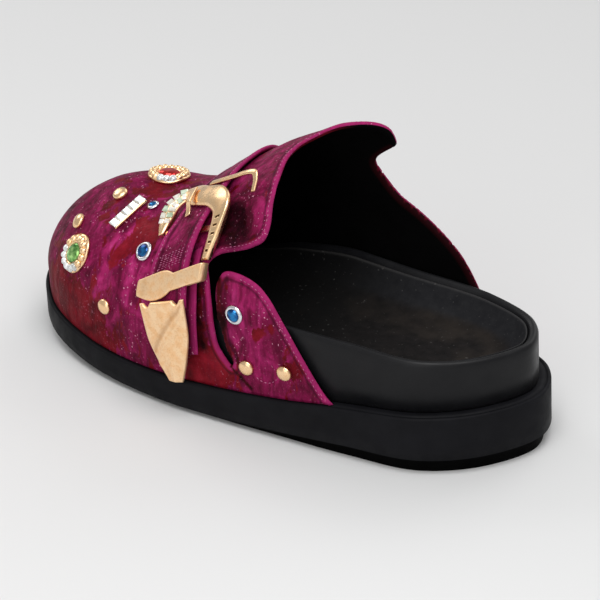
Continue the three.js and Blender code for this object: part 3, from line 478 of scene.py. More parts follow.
# Tables and curves
def column(table, index):
    """Smooth value of one column of a table against its first column, without overshoot."""
    rows = np.array([[row[0], row[index]] for row in table], float)
    xs, ys = rows[:, 0], rows[:, 1]
    slopes = np.diff(ys) / np.diff(xs)
    tangents = np.concatenate([slopes[:1], np.zeros(len(xs) - 2), slopes[-1:]])
    before, after = slopes[:-1], slopes[1:]
    same = before * after > 0
    total = np.where(same, before + after, 1.0)
    tangents[1:-1] = np.where(same, 2 * before * after / total, 0.0)

    def value(x):
        x = np.asarray(x, float)
        i = np.clip(np.searchsorted(xs, x, side="left") - 1, 0, len(xs) - 2)
        run = xs[i + 1] - xs[i]
        t = np.clip((x - xs[i]) / run, 0, 1)
        ends = ys[i] * (2 * t**3 - 3 * t**2 + 1) + ys[i + 1] * (3 * t**2 - 2 * t**3)
        return ends + run * (tangents[i] * (t**3 - 2 * t**2 + t) + tangents[i + 1] * (t**3 - t**2))

    return value


def spline(points, per_span, closed=False):
    """A centripetal Catmull-Rom line through 2-D points."""
    points = np.asarray(points, float)
    if closed:
        padded = np.vstack([points[-1:], points, points[:2]])
    else:
        padded = np.vstack([2 * points[0] - points[1], points, 2 * points[-1] - points[-2]])
    t = np.linspace(0, 1, per_span, endpoint=False)[:, None]
    spans = []
    for p0, p1, p2, p3 in zip(padded[:-3], padded[1:-2], padded[2:-1], padded[3:]):
        d0, d1, d2 = (math.sqrt(np.linalg.norm(b - a)) for a, b in ((p0, p1), (p1, p2), (p2, p3)))
        m1 = ((p1 - p0) / d0 - (p2 - p0) / (d0 + d1) + (p2 - p1) / d1) * d1
        m2 = ((p2 - p1) / d1 - (p3 - p1) / (d1 + d2) + (p3 - p2) / d2) * d1
        c2 = -3 * p1 + 3 * p2 - 2 * m1 - m2
        c3 = 2 * p1 - 2 * p2 + m1 + m2
        spans.append(p1 + m1 * t + c2 * t**2 + c3 * t**3)
    if not closed:
        spans.append(points[-1:])
    return np.vstack(spans)


def mix(a, b, share):
    return a + (b - a) * share


def smoothstep(low, high, value):
    t = np.clip((value - low) / (high - low), 0, 1)
    return t * t * (3 - 2 * t)


def bell(value, middle, half):
    return np.exp(-(((value - middle) / half) ** 2))


def full_turn(count):
    return np.linspace(0, 2 * math.pi, count, endpoint=False)


def unit(rows):
    return rows / np.linalg.norm(rows, axis=-1, keepdims=True)


wall_at = column(SOLE_WALL, 1)
tread_at = column(TREAD_BAND, 1)
rim_at = column(BED, 1)
cup_at = column(BED, 2)
drop_at = column(BED_RINGS, 1)
crest_y_at = column(LAST, 1)
crest_z_at = column(LAST, 2)
full_at = {"outer": column(LAST, 3), "inner": column(LAST, 4)}
upright_at = column(LAST, 5)
strap_x_at = column(STRAP_LINE, 1)
strap_lift_at = column(STRAP_LINE, 2)
tip_half_at = column(TIP_HALF, 1)


def spring_at(x):
    return SPRING.rise * np.clip((x - SPRING.start) / SPRING.run, 0, 1) ** 2


def sole_top_at(x):
    return wall_at(x) + spring_at(x)


# The sole's outline as two chains from heel to toe tip, moved inwards
PER_SPAN = 120
outline = spline([(x, y) for _, x, y in OUTLINE], PER_SPAN, closed=True)
along = unit(np.roll(outline, -1, 0) - np.roll(outline, 1, 0))
inward = np.stack([along[:, 1], -along[:, 0]], 1)
TIP_INDEX = [name for name, _, _ in OUTLINE].index("toe_tip") * PER_SPAN


def chain(side, inset):
    moved = outline + inset * inward
    if side == "outer":
        return moved[: TIP_INDEX + 1]
    return np.vstack([moved[:1], moved[: TIP_INDEX - 1 : -1]])


def at_index(line, index):
    """Points of a line at fractional indices."""
    whole = np.arange(len(line))
    return np.stack([np.interp(index, whole, line[:, k]) for k in range(line.shape[1])], -1)


# Tables of the upper's base line for every inset that the upper, strap and fittings use
INSETS = np.arange(-12, 6.01, 0.5)
PLAIN_X = np.arange(10, UPPER.fan + 0.01, 0.5)
TOE_SHARES = np.linspace(0, 1, 161)


def base_tables(side):
    plain, toe = [], []
    for inset in INSETS:
        line = chain(side, inset)
        plain.append(np.interp(PLAIN_X, line[:, 0], line[:, 1]))
        start = np.interp(UPPER.fan, line[:, 0], np.arange(len(line)))
        toe.append(at_index(line, mix(start, len(line) - 1, TOE_SHARES)))
    return np.array(plain), np.array(toe)


BASE = {side: base_tables(side) for side in ("outer", "inner")}


def lookup(table, rows, columns):
    """Bilinear value of a table at fractional rows and columns."""
    r = np.clip(rows, 0, table.shape[0] - 1.001)
    c = np.clip(columns, 0, table.shape[1] - 1.001)
    r0, c0 = r.astype(int), c.astype(int)
    fr, fc = r - r0, c - c0
    if table.ndim == 3:
        fr, fc = fr[..., None], fc[..., None]
    low = mix(table[r0, c0], table[r0, c0 + 1], fc)
    high = mix(table[r0 + 1, c0], table[r0 + 1, c0 + 1], fc)
    return mix(low, high, fr)


def base_point(side, station, grow):
    plain, toe = BASE[side]
    row = (UPPER.inset - grow - INSETS[0]) / (INSETS[1] - INSETS[0])
    y = lookup(plain, row, (station - PLAIN_X[0]) / (PLAIN_X[1] - PLAIN_X[0]))
    share = np.clip((station - UPPER.fan) / (UPPER.spine_end - UPPER.fan), 0, 1)
    on_toe = lookup(toe, row, share * (len(TOE_SHARES) - 1))
    before = np.stack([station, y], -1)
    return np.where((share > 0)[..., None], on_toe, before), share


def upper_point(side, station, angle, grow):
    """A point over the last: angle -1 is the ledge, 0 the top of the upright wall, half pi the crest."""
    station, angle, grow = np.broadcast_arrays(*(np.asarray(v, float) for v in (station, angle, grow)))
    base, share = base_point(side, station, grow)
    fan_length = UPPER.spine_end - UPPER.fan
    crest_x = np.where(share > 0, UPPER.fan + fan_length * (1 - (1 - share) ** 2), station)
    full = full_at[side](crest_x)
    lifted = np.maximum(angle, 0)
    across = np.maximum(np.cos(lifted), 0)
    rise = np.sin(lifted)
    radius = (across**full + rise**full) ** (-1 / full)
    crest = np.stack([crest_x, crest_y_at(crest_x)], -1)
    flat = mix(crest, base, (radius * across)[..., None])
    lean = sole_top_at(base[..., 0]) + GAP + upright_at(crest_x) * (1 + np.minimum(0, angle))
    z = mix(lean, crest_z_at(crest_x) + grow, radius * rise)
    return np.concatenate([flat, z[..., None]], -1)


def wrap_point(wrap, x, lift):
    """A point over the upper: wrap 90 is the crest, less is the outer flank, below 0 the upright wall."""
    wrap, x, lift = np.broadcast_arrays(*(np.asarray(v, float) for v in (wrap, x, lift)))
    outer = wrap <= 90
    degrees = np.where(outer, wrap, 180 - wrap)
    angle = np.where(degrees < 0, degrees / 90, np.radians(degrees))
    on_outer = upper_point("outer", x, angle, lift)
    on_inner = upper_point("inner", x, angle, lift)
    return np.where(outer[..., None], on_outer, on_inner)


# Mesh helpers
def clean(mesh, weld=0.0, smooth=None):
    """Welds a mesh's near points and turns its faces outwards."""
    work = bmesh.new()
    work.from_mesh(mesh)
    if weld:
        bmesh.ops.remove_doubles(work, verts=work.verts, dist=weld / 1000)
    bmesh.ops.recalc_face_normals(work, faces=work.faces)
    if smooth is not None:
        for face in work.faces:
            face.smooth = smooth
    work.to_mesh(mesh)
    work.free()


def add_values(mesh, values):
    for key, numbers in values.items():
        layer = mesh.attributes.new(key, "FLOAT", "POINT")
        layer.data.foreach_set("value", np.asarray(numbers, np.float32))


def add_object(name, points, faces, materials, face_slots=None, smooth=True, values=None, weld=0.0):
    """A mesh object of heel-frame points, with any per-point values as attributes."""
    mesh = bpy.data.meshes.new(name)
    in_part = (np.asarray(points, float) + HEEL_TO_PART) / 1000
    mesh.from_pydata(in_part.tolist(), [], [list(map(int, face)) for face in faces])
    add_values(mesh, values or {})
    for material in materials:
        mesh.materials.append(material)
    if face_slots is not None:
        mesh.polygons.foreach_set("material_index", np.asarray(face_slots, np.int32))
    clean(mesh, weld, smooth)
    made = bpy.data.objects.new(name, mesh)
    bpy.context.scene.collection.objects.link(made)
    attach(made, "root")
    return made


def stand_for(made, node_name):
    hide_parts(node_name)


def join(objects, weld=0.0):
    with bpy.context.temp_override(active_object=objects[0], selected_editable_objects=objects):
        bpy.ops.object.join()
    if weld:
        clean(objects[0].data, weld)
    return objects[0]


def grid_faces(rows, columns):
    r, c = np.mgrid[0 : rows - 1, 0 : columns - 1]
    a = (r * columns + c).ravel()
    return np.stack([a, a + 1, a + columns + 1, a + columns], 1)


def loop_faces(rows, columns, closed_rows=False):
    """Quads over rows of closed rings."""
    last = rows if closed_rows else rows - 1
    r, c = np.mgrid[0:last, 0:columns]
    here = r * columns
    there = ((r + 1) % rows) * columns
    after = (c + 1) % columns
    return np.stack([here + c, here + after, there + after, there + c], -1).reshape(-1, 4)


def stacked(copies, faces):
    """Points and faces of placed copies of one shape."""
    size = len(copies[0])
    return np.vstack(copies), [[i + k * size for i in face] for k in range(len(copies)) for face in faces]


def turned(profile, sides):
    """A lathed shape: rows of (radius, height) round the z axis, closed on the axis."""
    turn = full_turn(sides)
    rows = [np.stack([r * np.cos(turn), r * np.sin(turn), np.full(sides, h)], 1) for r, h in profile]
    return np.vstack(rows), loop_faces(len(profile), sides).tolist()


def square_cut(profile):
    """A four-sided cut with sides along the axes."""
    points, faces = turned(profile, 4)
    x, y, z = points.T
    return np.stack([x - y, x + y, z], 1), faces


def pillow(name, point, material, relief=None):
    """A closed sheet over u 0 to 1 and w -1 to 1, its rim rounded, with relief raised on its upper face."""
    steps_u, steps_w, rim_u, rim_w = SHEETS[name]
    u, w = np.meshgrid(np.linspace(0, 1, steps_u), np.linspace(-1, 1, steps_w), indexing="ij")
    from_edge = 1 - np.abs(w)
    inside = np.clip(np.minimum(np.minimum(u, 1 - u) / rim_u, from_edge / rim_w), 0, 1)
    fat = np.sqrt(1 - (1 - inside) ** 2)
    flat = np.zeros_like(u)
    raised = relief(u, w) * inside if relief else flat
    high = point(u, w, 0.5 + 0.5 * fat, raised)
    low = point(u, w, 0.5 - 0.5 * fat, flat)
    points = np.vstack([high.reshape(-1, 3), low.reshape(-1, 3)])
    faces = grid_faces(steps_u, steps_w)
    both = np.vstack([faces, faces[:, ::-1] + u.size])
    values = {"relief": np.stack([raised, flat]).ravel(), "edge": np.tile(from_edge.ravel(), 2)}
    return add_object(name, points, both, [material], values=values, weld=WELD)


# Materials
class Surface:
    """One procedural material. The methods after dress add a node and give its output."""

    def __init__(self, name):
        self.material = bpy.data.materials.new(name)
        self.material.use_nodes = True
        self.tree = self.material.node_tree
        self.shader = self.tree.nodes["Principled BSDF"]

    def feed(self, socket, value):
        """Links an output to a socket, or sets a plain number or colour on it."""
        if isinstance(value, bpy.types.NodeSocket):
            self.tree.links.new(value, socket)
        elif socket.type == "RGBA":
            socket.default_value = (*value, 1.0)
        else:
            socket.default_value = value

    def node(self, kind, settings=None, **inputs):
        made = self.tree.nodes.new(kind)
        for key, value in (settings or {}).items():
            setattr(made, key, value)
        for key, value in inputs.items():
            self.feed(made.inputs[key.replace("_", " ")], value)
        return made

    def dress(self, **inputs):
        """Feeds the shader's own sockets and gives the material."""
        for key, value in inputs.items():
            self.feed(self.shader.inputs[key.replace("_", " ")], value)
        return self.material

    def coords(self):
        return self.node("ShaderNodeTexCoord").outputs["Object"]

    def place(self, axis):
        return self.node("ShaderNodeSeparateXYZ", Vector=self.coords()).outputs[axis]

    def stretched(self, scale):
        return self.node("ShaderNodeMapping", Vector=self.coords(), Scale=scale).outputs["Vector"]

    def noise(self, scale, detail, roughness, distortion=0.0, vector=None):
        made = self.node("ShaderNodeTexNoise", Vector=vector or self.coords(), Scale=scale, Detail=detail,
                         Roughness=roughness, Distortion=distortion)
        return made.outputs["Fac"]

    def attribute(self, name):
        return self.node("ShaderNodeAttribute", {"attribute_name": name}).outputs["Fac"]

    def ramp(self, value, stops):
        made = self.node("ShaderNodeValToRGB", Fac=value)
        line = made.color_ramp
        while len(line.elements) < len(stops):
            line.elements.new(0.5)
        for element, (position, colour) in zip(line.elements, stops):
            element.position = position
            element.color = (*colour, 1.0)
        return made.outputs["Color"]

    def blend(self, share, first, second):
        made = self.node("ShaderNodeMix", {"data_type": "RGBA"})
        for index, value in ((0, share), (6, first), (7, second)):
            self.feed(made.inputs[index], value)
        return made.outputs[2]

    def reckon(self, operation, first, second):
        made = self.node("ShaderNodeMath", {"operation": operation})
        for socket, value in zip(made.inputs, (first, second)):
            self.feed(socket, value)
        return made.outputs[0]

    def add(self, first, second):
        return self.reckon("ADD", first, second)

    def times(self, first, second):
        return self.reckon("MULTIPLY", first, second)

    def spread(self, value, source, target=(0.0, 1.0)):
        """A value moved smoothly from one range to another."""
        made = self.node("ShaderNodeMapRange", {"interpolation_type": "SMOOTHSTEP"}, Value=value,
                         From_Min=source[0], From_Max=source[1], To_Min=target[0], To_Max=target[1])
        return made.outputs["Result"]

    def bump(self, height, strength, distance_mm):
        made = self.node("ShaderNodeBump", Height=height, Strength=strength, Distance=distance_mm / 1000)
        self.dress(Normal=made.outputs["Normal"])


def brocade_material():
    """Figured cloth: plum with dark red figures, upright threads, painted glints, a painted highlight on
    folded edges and painted shade where the light value is below 0.
    """
    cloth = Surface("brocade")
    upright = cloth.stretched((1.0, 1.0, 0.5))
    thread = cloth.stretched((1.0, 1.0, 0.18))
    edge = cloth.attribute("edge")
    light = cloth.attribute("light")
    flow = cloth.noise(105, 5, 0.62, 1.3, upright)
    figure = cloth.spread(cloth.add(flow, cloth.attribute("red")), (0.57, 0.64))
    # The light value, below 0 where shade is painted, darkens both ramps
    magenta = cloth.ramp(cloth.add(cloth.noise(150, 4, 0.6, 0.9, upright), light), MAGENTA)
    crimson = cloth.ramp(cloth.add(cloth.noise(120, 4, 0.6, 0.5), light), CRIMSON)
    streaks = cloth.spread(cloth.noise(420, 3, 0.6, 0.3, thread), (0.42, 0.72), (0.0, 0.5))
    streaks = cloth.times(streaks, cloth.spread(figure, (0.0, 1.0), (1.0, 0.45)))
    # Painted highlight on the rolled edge, left out where the cloth has painted shade
    fold_highlight = cloth.times(cloth.spread(edge, (1.4, 2.6), (0.6, 0.0)), cloth.spread(light, (-0.35, -0.05)))
    seam = cloth.times(cloth.spread(edge, (2.4, 3.0)), cloth.spread(edge, (3.2, 4.4), (0.6, 0.0)))
    # Piping trim on the quarter, its colour lightened as a painted highlight on the rolled edge
    piping_and_highlight = cloth.times(cloth.attribute("trim"), cloth.spread(edge, (1.0, 2.0), (0.85, 0.0)))
    # Painted glints of the metal thread: bright specks in clusters, fewer on the red figures
    cluster = cloth.spread(cloth.noise(70, 3, 0.6), (0.45, 0.62), (0.12, 1.0))
    cluster = cloth.times(cluster, cloth.spread(figure, (0.0, 1.0), (1.0, 0.3)))
    specks = cloth.times(cluster, cloth.spread(cloth.noise(1000, 1, 0.5), (0.67, 0.72), (0.0, 0.9)))
    colour = cloth.blend(figure, magenta, crimson)
    layers = {"streak": streaks, "fold_highlight": fold_highlight, "seam": seam, "piping_and_highlight": piping_and_highlight, "glint": specks}
    for name, share in layers.items():
        colour = cloth.blend(share, colour, CLOTH[name])
    weave = cloth.times(cloth.noise(900, 2, 0.5), 0.4)
    cloth.bump(cloth.add(weave, cloth.noise(170, 4, 0.6, 0.6, upright)), 0.6, 0.7)
    gloss = cloth.spread(flow, (0.35, 0.65), (0.66, 0.46))
    return cloth.dress(Base_Color=colour, Roughness=gloss, Specular_IOR_Level=0.06)


def lining_material():
    """Black lining that turns to a dark red band along the collar and the quarter."""
    lining = Surface("lining")
    body = lining.ramp(lining.noise(60, 4, 0.6), LINING_BLACK)
    near_edge = lining.spread(lining.attribute("edge"), (1.6, 3.2), (0.9, 0.0))
    band = lining.times(lining.attribute("trim"), near_edge)
    gloss = lining.spread(lining.noise(200, 3, 0.6), (0.3, 0.7), (0.7, 0.92))
    lining.bump(lining.noise(600, 3, 0.6), 0.4, 0.2)
    colour = lining.blend(band, body, LINING_RED)
    return lining.dress(Base_Color=colour, Roughness=gloss, Specular_IOR_Level=0.04)


def dark_material(name, blacks, roughness, specular, grain, strength):
    """Black rubber or wrap: slight colour variation, uneven gloss, fine grain, blacker where shaded."""
    dark = Surface(name)
    body = dark.ramp(dark.noise(45, 4, 0.6), blacks)
    shade = dark.attribute("shade")
    gloss = dark.spread(dark.noise(120, 4, 0.65), (0.3, 0.7), roughness)
    sheen = dark.spread(shade, (0.0, 1.0), (specular, 0.02))
    dark.bump(dark.noise(grain, 3, 0.6), strength, 0.12)
    colour = dark.blend(shade, body, SHADED_BLACK)
    return dark.dress(Base_Color=colour, Roughness=gloss, Specular_IOR_Level=sheen)


def sock_material():
    """Napped sock, lighter up the cup's wall than on its floor as painted light and shade, rubbed pale and
    a little brown where the heel stands, with a few pale specks and painted shadow under the instep.
    """
    sock = Surface("sock")
    nap = sock.noise(240, 4, 0.65)
    # Painted light up the cup's wall, painted shade on its floor
    on_floor = sock.spread(sock.attribute("sunk"), (0.78, 0.95))
    body = sock.blend(on_floor, sock.ramp(nap, SOCK_WALL), sock.ramp(nap, SOCK_FLOOR))
    worn = sock.times(sock.spread(sock.noise(28, 4, 0.6), (0.46, 0.66), (0.0, 0.6)), on_floor)
    # Painted shadow of the upper over the insole's front, darker towards the toe
    painted_front_shadow = sock.spread(sock.place("X"), (-0.06, -0.012), (0.0, 0.9))
    specks = sock.spread(sock.noise(640, 2, 0.5), (0.68, 0.74), (0.0, 0.5))
    rubbed = sock.add(specks, sock.spread(sock.attribute("edge"), (0.0, 1.5), (0.25, 0.0)))
    for name, share in {"worn": worn, "painted_front_shadow": painted_front_shadow, "rubbed": rubbed}.items():
        body = sock.blend(share, body, SOCK_WEAR_AND_SHADOW[name])
    sock.bump(nap, 0.5, 0.35)
    return sock.dress(Base_Color=body, Roughness=0.85, Specular_IOR_Level=0.14)


def metal_material(name, dark, bright, roughness, metallic=1.0, grain=0.25, speckle=0.15, mottle=0.35):
    """Gilt or silver: recesses keep a dark tarnish, raised parts are rubbed bright; the trough by the tip's
    fold uses it as painted shade.
    """
    metal = Surface(name)
    cut = metal.spread(metal.attribute("relief"), (-0.35, 0.0))
    wear = metal.noise(260, 4, 0.6)
    worn = metal.spread(wear, (0.35, 0.65), (0.0, mottle))
    shine = metal.blend(worn, bright, tuple(0.92 * c**1.5 for c in bright))
    grains = metal.spread(metal.noise(1300, 2, 0.5), (0.52, 0.66), (0.0, speckle))
    shine = metal.blend(grains, shine, tuple(0.6 * c**2 for c in bright))
    gloss = metal.spread(wear, (0.3, 0.7), roughness)
    metal.bump(metal.noise(900, 3, 0.6), grain, 0.12)
    return metal.dress(Base_Color=metal.blend(cut, dark, shine), Roughness=gloss, Metallic=metallic)


def gem_material(name, deep, light, metallic=0.85, coat=0.25):
    """Cut glass over foil: a deep body colour mottled at random with a lighter tone that is painted
    highlight, under a hard gloss.
    """
    gem = Surface(name)
    colour = gem.ramp(gem.noise(420, 2, 0.5), [(0.35, deep), (0.65, light)])
    return gem.dress(Base_Color=colour, Roughness=0.06, IOR=1.6, Metallic=metallic,
                     Coat_Weight=coat, Coat_Roughness=0.03)


def thread_material():
    thread = Surface("thread")
    return thread.dress(Base_Color=thread.ramp(thread.noise(500, 2, 0.5), THREAD_PLUM), Roughness=0.55)


BROCADE = brocade_material()
LINING = lining_material()
RUBBER = dark_material("rubber", RUBBER_BLACK, (0.5, 0.66), specular=0.09, grain=900, strength=0.25)
WRAP = dark_material("wrap", WRAP_BLACK, (0.34, 0.48), specular=0.2, grain=700, strength=0.3)
SOCK = sock_material()
GOLD = metal_material("gold", (0.10, 0.045, 0.014), (1.0, 0.70, 0.41), (0.2, 0.36))
SATIN = metal_material("satin_gold", (0.42, 0.17, 0.05), (1.0, 0.70, 0.42), (0.3, 0.5),
                       metallic=0.66, grain=0.7, speckle=0.2, mottle=0.7)
SILVER = metal_material("silver", (0.07, 0.07, 0.08), (0.82, 0.83, 0.86), (0.14, 0.3))
THREAD = thread_material()
# The second colour of each gem is its painted highlight
GEMS = {
    "green": gem_material("green_glass", (0.03, 0.22, 0.02), (0.45, 0.8, 0.25)),
    "red": gem_material("red_glass", (0.4, 0.006, 0.008), (0.85, 0.05, 0.04)),
    "blue": gem_material("blue_glass", (0.003, 0.03, 0.16), (0.012, 0.2, 0.5)),
    "crystal": gem_material("clear_glass", (0.5, 0.52, 0.5), (0.95, 0.97, 0.98), metallic=0.35, coat=1.0),
    "pale": gem_material("pale_glass", (0.42, 0.56, 0.38), (0.8, 0.92, 0.74), metallic=0.3, coat=1.0),
    "cream": gem_material("cream_glass", (0.78, 0.74, 0.62), (1.0, 0.98, 0.92), metallic=0.3, coat=1.0),
}


# Sole, footbed and insole
def ring(inset, height_at):
    """A closed ring inside the sole's outline, from the heel along the outer side and back."""
    sides = []
    for side in ("outer", "inner"):
        line = chain(side, inset)
        sides.append(at_index(line, np.linspace(0, len(line) - 1, SOLE.samples)))
    loop = np.vstack([sides[0], sides[1][1:-1][::-1]])
    return np.column_stack([loop, height_at(loop[:, 0])])


def strip_faces(size, start):
    """Quads across a ring, from each point of the outer side to its twin on the inner side."""
    half = size // 2
    inner = [(size - i) % size for i in range(half + 1)]
    quads = [[start + i, start + i + 1, start + inner[i + 1], start + inner[i]] for i in range(1, half - 1)]
    heel = [start, start + 1, start + inner[1]]
    toe = [start + half - 1, start + half, start + inner[half - 1]]
    return quads + [heel, toe]


def ring_solid(name, rings, material, values=None, open_bottom=False):
    size = len(rings[0])
    faces = loop_faces(len(rings), size).tolist() + strip_faces(size, (len(rings) - 1) * size)
    if not open_bottom:
        faces += strip_faces(size, 0)
    return add_object(name, np.vstack(rings), faces, [material], values=values, weld=WELD)


def under_height(x, y):
    """Height of the tread over the floor: waist and cross grooves."""
    in_waist = (x > WAIST.start) & (x < WAIST.end) & (np.abs(y) < WAIST.half)
    height = spring_at(x) + WAIST.depth * in_waist
    for station in GROOVES.stations:
        inside = (x > station) & (x < station + GROOVES.width) & (np.abs(y) < GROOVES.half)
        height = np.where(inside, np.maximum(height, GROOVES.depth), height)
    return height


def tread_plate(floor):
    """The underside, as a grid between both sides of the lowest ring."""
    half = len(floor) // 2
    outer = floor[: half + 1]
    inner = np.vstack([floor[:1], floor[: half - 1 : -1]])
    share = np.linspace(0, 1, SOLE.floor_columns)[None, :, None]
    tread = mix(outer[:, None, :], inner[:, None, :], share)
    tread[:, 1:-1, 2] = under_height(tread[:, 1:-1, 0], tread[:, 1:-1, 1])
    points = tread.reshape(-1, 3)
    faces = grid_faces(*tread.shape[:2])
    # Painted shade over the whole underside
    values = {"shade": np.ones(len(points))}
    return add_object("outsole_tread", points, faces, [RUBBER], values=values, weld=WELD)


def make_outsole():
    band_top = lambda x: spring_at(x) + tread_at(x)
    step_top = lambda x: band_top(x) + SOLE.step_rise
    wall_top = lambda x: sole_top_at(x) - LEDGE_RINGS[0][1]
    floor = ring(SOLE.floor_inset, spring_at)
    floor[:, 2] = under_height(floor[:, 0], floor[:, 1])
    rings = [
        floor,
        ring(SOLE.tread_inset, band_top),
        ring(SOLE.lip_inset, lambda x: step_top(x) - SOLE.lip_drop),
        ring(0, step_top),
    ]
    rings += [ring(0, lambda x, s=share: mix(step_top(x), wall_top(x), s)) for share in SOLE.wall_shares]
    rings += [ring(inset, lambda x, d=down: sole_top_at(x) - d) for inset, down in LEDGE_RINGS]
    shades = TREAD_SHADES + [0.0] * (len(rings) - len(TREAD_SHADES))
    values = {"shade": np.repeat(shades, len(floor))}
    made = ring_solid("outsole_rubber", rings, RUBBER, values, open_bottom=True)
    stand_for(made, "outsole")
    join([made, tread_plate(floor)], SOLE.weld)


def bed_height(inset, lift=0.0):
    drop = float(drop_at(inset))
    return lambda x: mix(rim_at(x), cup_at(x), drop) + lift


def make_footbed():
    first, last = BED_RINGS[0][0], BED_RINGS[-1][0]
    base = lambda x: sole_top_at(x) + GAP
    foot = lambda x: base(x) + BED_FOOT.rise
    top = bed_height(first)
    rings = [ring(first + BED_FOOT.inset, base), ring(first, foot)]
    rings += [ring(first, lambda x, s=share: mix(foot(x), top(x), s)) for share in BED_STEPS.wall]
    rim = np.linspace(first, INSOLE.inset, BED_STEPS.rim)[1:]
    cup = np.linspace(INSOLE.inset, last, BED_STEPS.cup)[1:]
    rings += [ring(inset, bed_height(inset)) for inset in (*rim, *cup)]
    stand_for(ring_solid("footbed_wrap", rings, WRAP), "footbed")


def make_insole():
    insets = np.linspace(INSOLE.inset, BED_RINGS[-1][0], INSOLE.rings)
    top_lift = INSOLE.gap + INSOLE.thickness
    under = [ring(inset, bed_height(inset, INSOLE.gap)) for inset in insets[::-1]]
    lip = ring(insets[0] + INSOLE.lip, bed_height(insets[0], top_lift - INSOLE.soft))
    over = [ring(inset, bed_height(inset, top_lift)) for inset in (insets[0] + INSOLE.soft, *insets[1:])]
    from_edge = [INSOLE.under_edge] * len(under) + [0.0] + [float(k) for k in range(len(over))]
    sunk = drop_at(np.concatenate([insets[::-1], insets[:1], insets]))
    values = {"edge": np.repeat(from_edge, len(lip)), "sunk": np.repeat(sunk, len(lip))}
    stand_for(ring_solid("insole_sock", under + [lip] + over, SOCK, values), "insole")


# Upper: a grid over the last, clipped by the cut edges, with a rolled rim
def polygon_distance(points, polygon):
    """Signed distance of 2-D points to a closed polygon, below 0 inside."""
    ends = np.roll(polygon, -1, 0)
    span = ends - polygon
    length = (span**2).sum(1)
    found = []
    for part in np.array_split(points, max(1, len(points) // AT_ONCE)):
        away = part[:, None, :] - polygon[None]
        t = np.clip((away * span).sum(2) / length, 0, 1)
        nearest = np.sqrt(((away - t[..., None] * span) ** 2).sum(2)).min(1)
        y0, y1 = polygon[:, 1][None], ends[:, 1][None]
        crosses = (y0 > part[:, 1:]) != (y1 > part[:, 1:])
        rise = np.where(y1 == y0, 1.0, y1 - y0)
        hit_x = polygon[:, 0][None] + (part[:, 1:] - y0) / rise * span[:, 0][None]
        inside = (crosses & (part[:, :1] < hit_x)).sum(1) % 2 == 1
        found.append(np.where(inside, -nearest, nearest))
    return np.concatenate(found)


def edge_distances(points):
    """Distance of points to the collar's cut and the outer and inner edge, above 0 where cloth is kept."""
    plan = polygon_distance(points[:, :2], spline(COLLAR_PLAN, EDGE.span_steps))
    outer = polygon_distance(points[:, [0, 2]], spline(OUTER_EDGE, EDGE.span_steps))
    inner = polygon_distance(points[:, [0, 2]], spline(INNER_EDGE, EDGE.span_steps))
    top = np.maximum(plan, COLLAR_FROM_Z - points[:, 2])
    return top, np.maximum(outer, SPLIT_Y - points[:, 1]), np.maximum(inner, points[:, 1] - SPLIT_Y)


def crease_depth(points):
    """Soft troughs and ridges of the cloth, in millimetres inwards."""
    depth = np.zeros(len(points))
    for side, x, z, degrees, half_length, half_width, deep in CREASES:
        turn = math.radians(degrees)
        dx, dz = points[:, 0] - x, points[:, 2] - z
        along_it = (dx * math.cos(turn) + dz * math.sin(turn)) / half_length
        across_it = (-dx * math.sin(turn) + dz * math.cos(turn)) / half_width
        on_side = smoothstep(*CREASE_FADE, (points[:, 1] - SPLIT_Y) * (1 if side == "outer" else -1))
        depth += deep * np.exp(-(along_it**2) - across_it**2) * on_side
    return depth


def cloth_patches(points):
    """How much redder and how much lighter the cloth is at each point; the darkest patches and strokes are
    painted shade.
    """
    red, light = np.zeros(len(points)), np.zeros(len(points))
    for x, y, z, radius, redder, lighter in PATCHES:
        near = np.exp(-((points - (x, y, z)) ** 2).sum(1) / radius**2)
        red += redder * near
        light += lighter * near
    flank = points[:, [0, 2]]
    for x0, z0, x1, z1, half, strength in STROKES:
        start, span = np.array([x0, z0]), np.array([x1 - x0, z1 - z0])
        t = np.clip((flank - start) @ span / (span @ span), 0, 1)
        away = np.linalg.norm(flank - start - t[:, None] * span, axis=1)
        near = bell(away, 0, half) * (points[:, 1] > 0)
        light += strength * near
        red -= STROKE_RED * strength * near
    return red, light


def edge_trims(points):
    """Share of trim on the cloth and on the lining: piping on the quarter, its colour lightened as a
    painted highlight, and a red band along the collar.
    """
    top, outer, inner = edge_distances(points)
    by_quarter = (inner < np.minimum(top, outer)).astype(float)
    by_collar = (top < np.minimum(inner, outer)) * smoothstep(BAND.start, BAND.full, points[:, 0])
    return by_quarter, np.maximum(by_collar, BAND.quarter * by_quarter)


def upper_grid():
    sizes = UPPER_GRID
    spans = [
        np.linspace(UPPER.rear, sizes.cut_from, sizes.rear, endpoint=False),
        np.linspace(sizes.cut_from, sizes.cut_to, sizes.cut, endpoint=False),
        np.linspace(sizes.cut_to, UPPER.fan, sizes.front),
        np.linspace(UPPER.fan, UPPER.spine_end, sizes.fan + 1)[1:],
    ]
    station = np.concatenate(spans)[:, None]
    upright = np.linspace(-1, 0, sizes.upright, endpoint=False)
    rise = np.concatenate([upright, np.linspace(0, math.pi / 2, sizes.arch)])[None]

    def over(grow):
        outer = upper_point("outer", station, rise, grow)
        inner = upper_point("inner", station, rise[:, :-1][:, ::-1], grow)
        return np.concatenate([outer, inner], 1)

    return over(0.0), over(-UPPER.wall)


def clip_grid(kept, rows, columns):
    """Faces of the kept part of a grid. New points are (from, to, share) on the grid's edges."""
    quads = grid_faces(rows, columns)
    positive = kept[quads] >= 0
    faces = quads[positive.all(1)].tolist()
    cuts, order = [], {}
    for quad in quads[positive.any(1) & ~positive.all(1)]:
        polygon = []
        for a, b in zip(quad, np.roll(quad, -1)):
            if kept[a] >= 0:
                polygon.append(int(a))
            if (kept[a] >= 0) != (kept[b] >= 0):
                key = (int(min(a, b)), int(max(a, b)))
                if key not in order:
                    order[key] = len(kept) + len(cuts)
                    cuts.append((*key, kept[key[0]] / (kept[key[0]] - kept[key[1]])))
                polygon.append(order[key])
        if len(polygon) > 2:
            faces.append(polygon)
    return faces, cuts


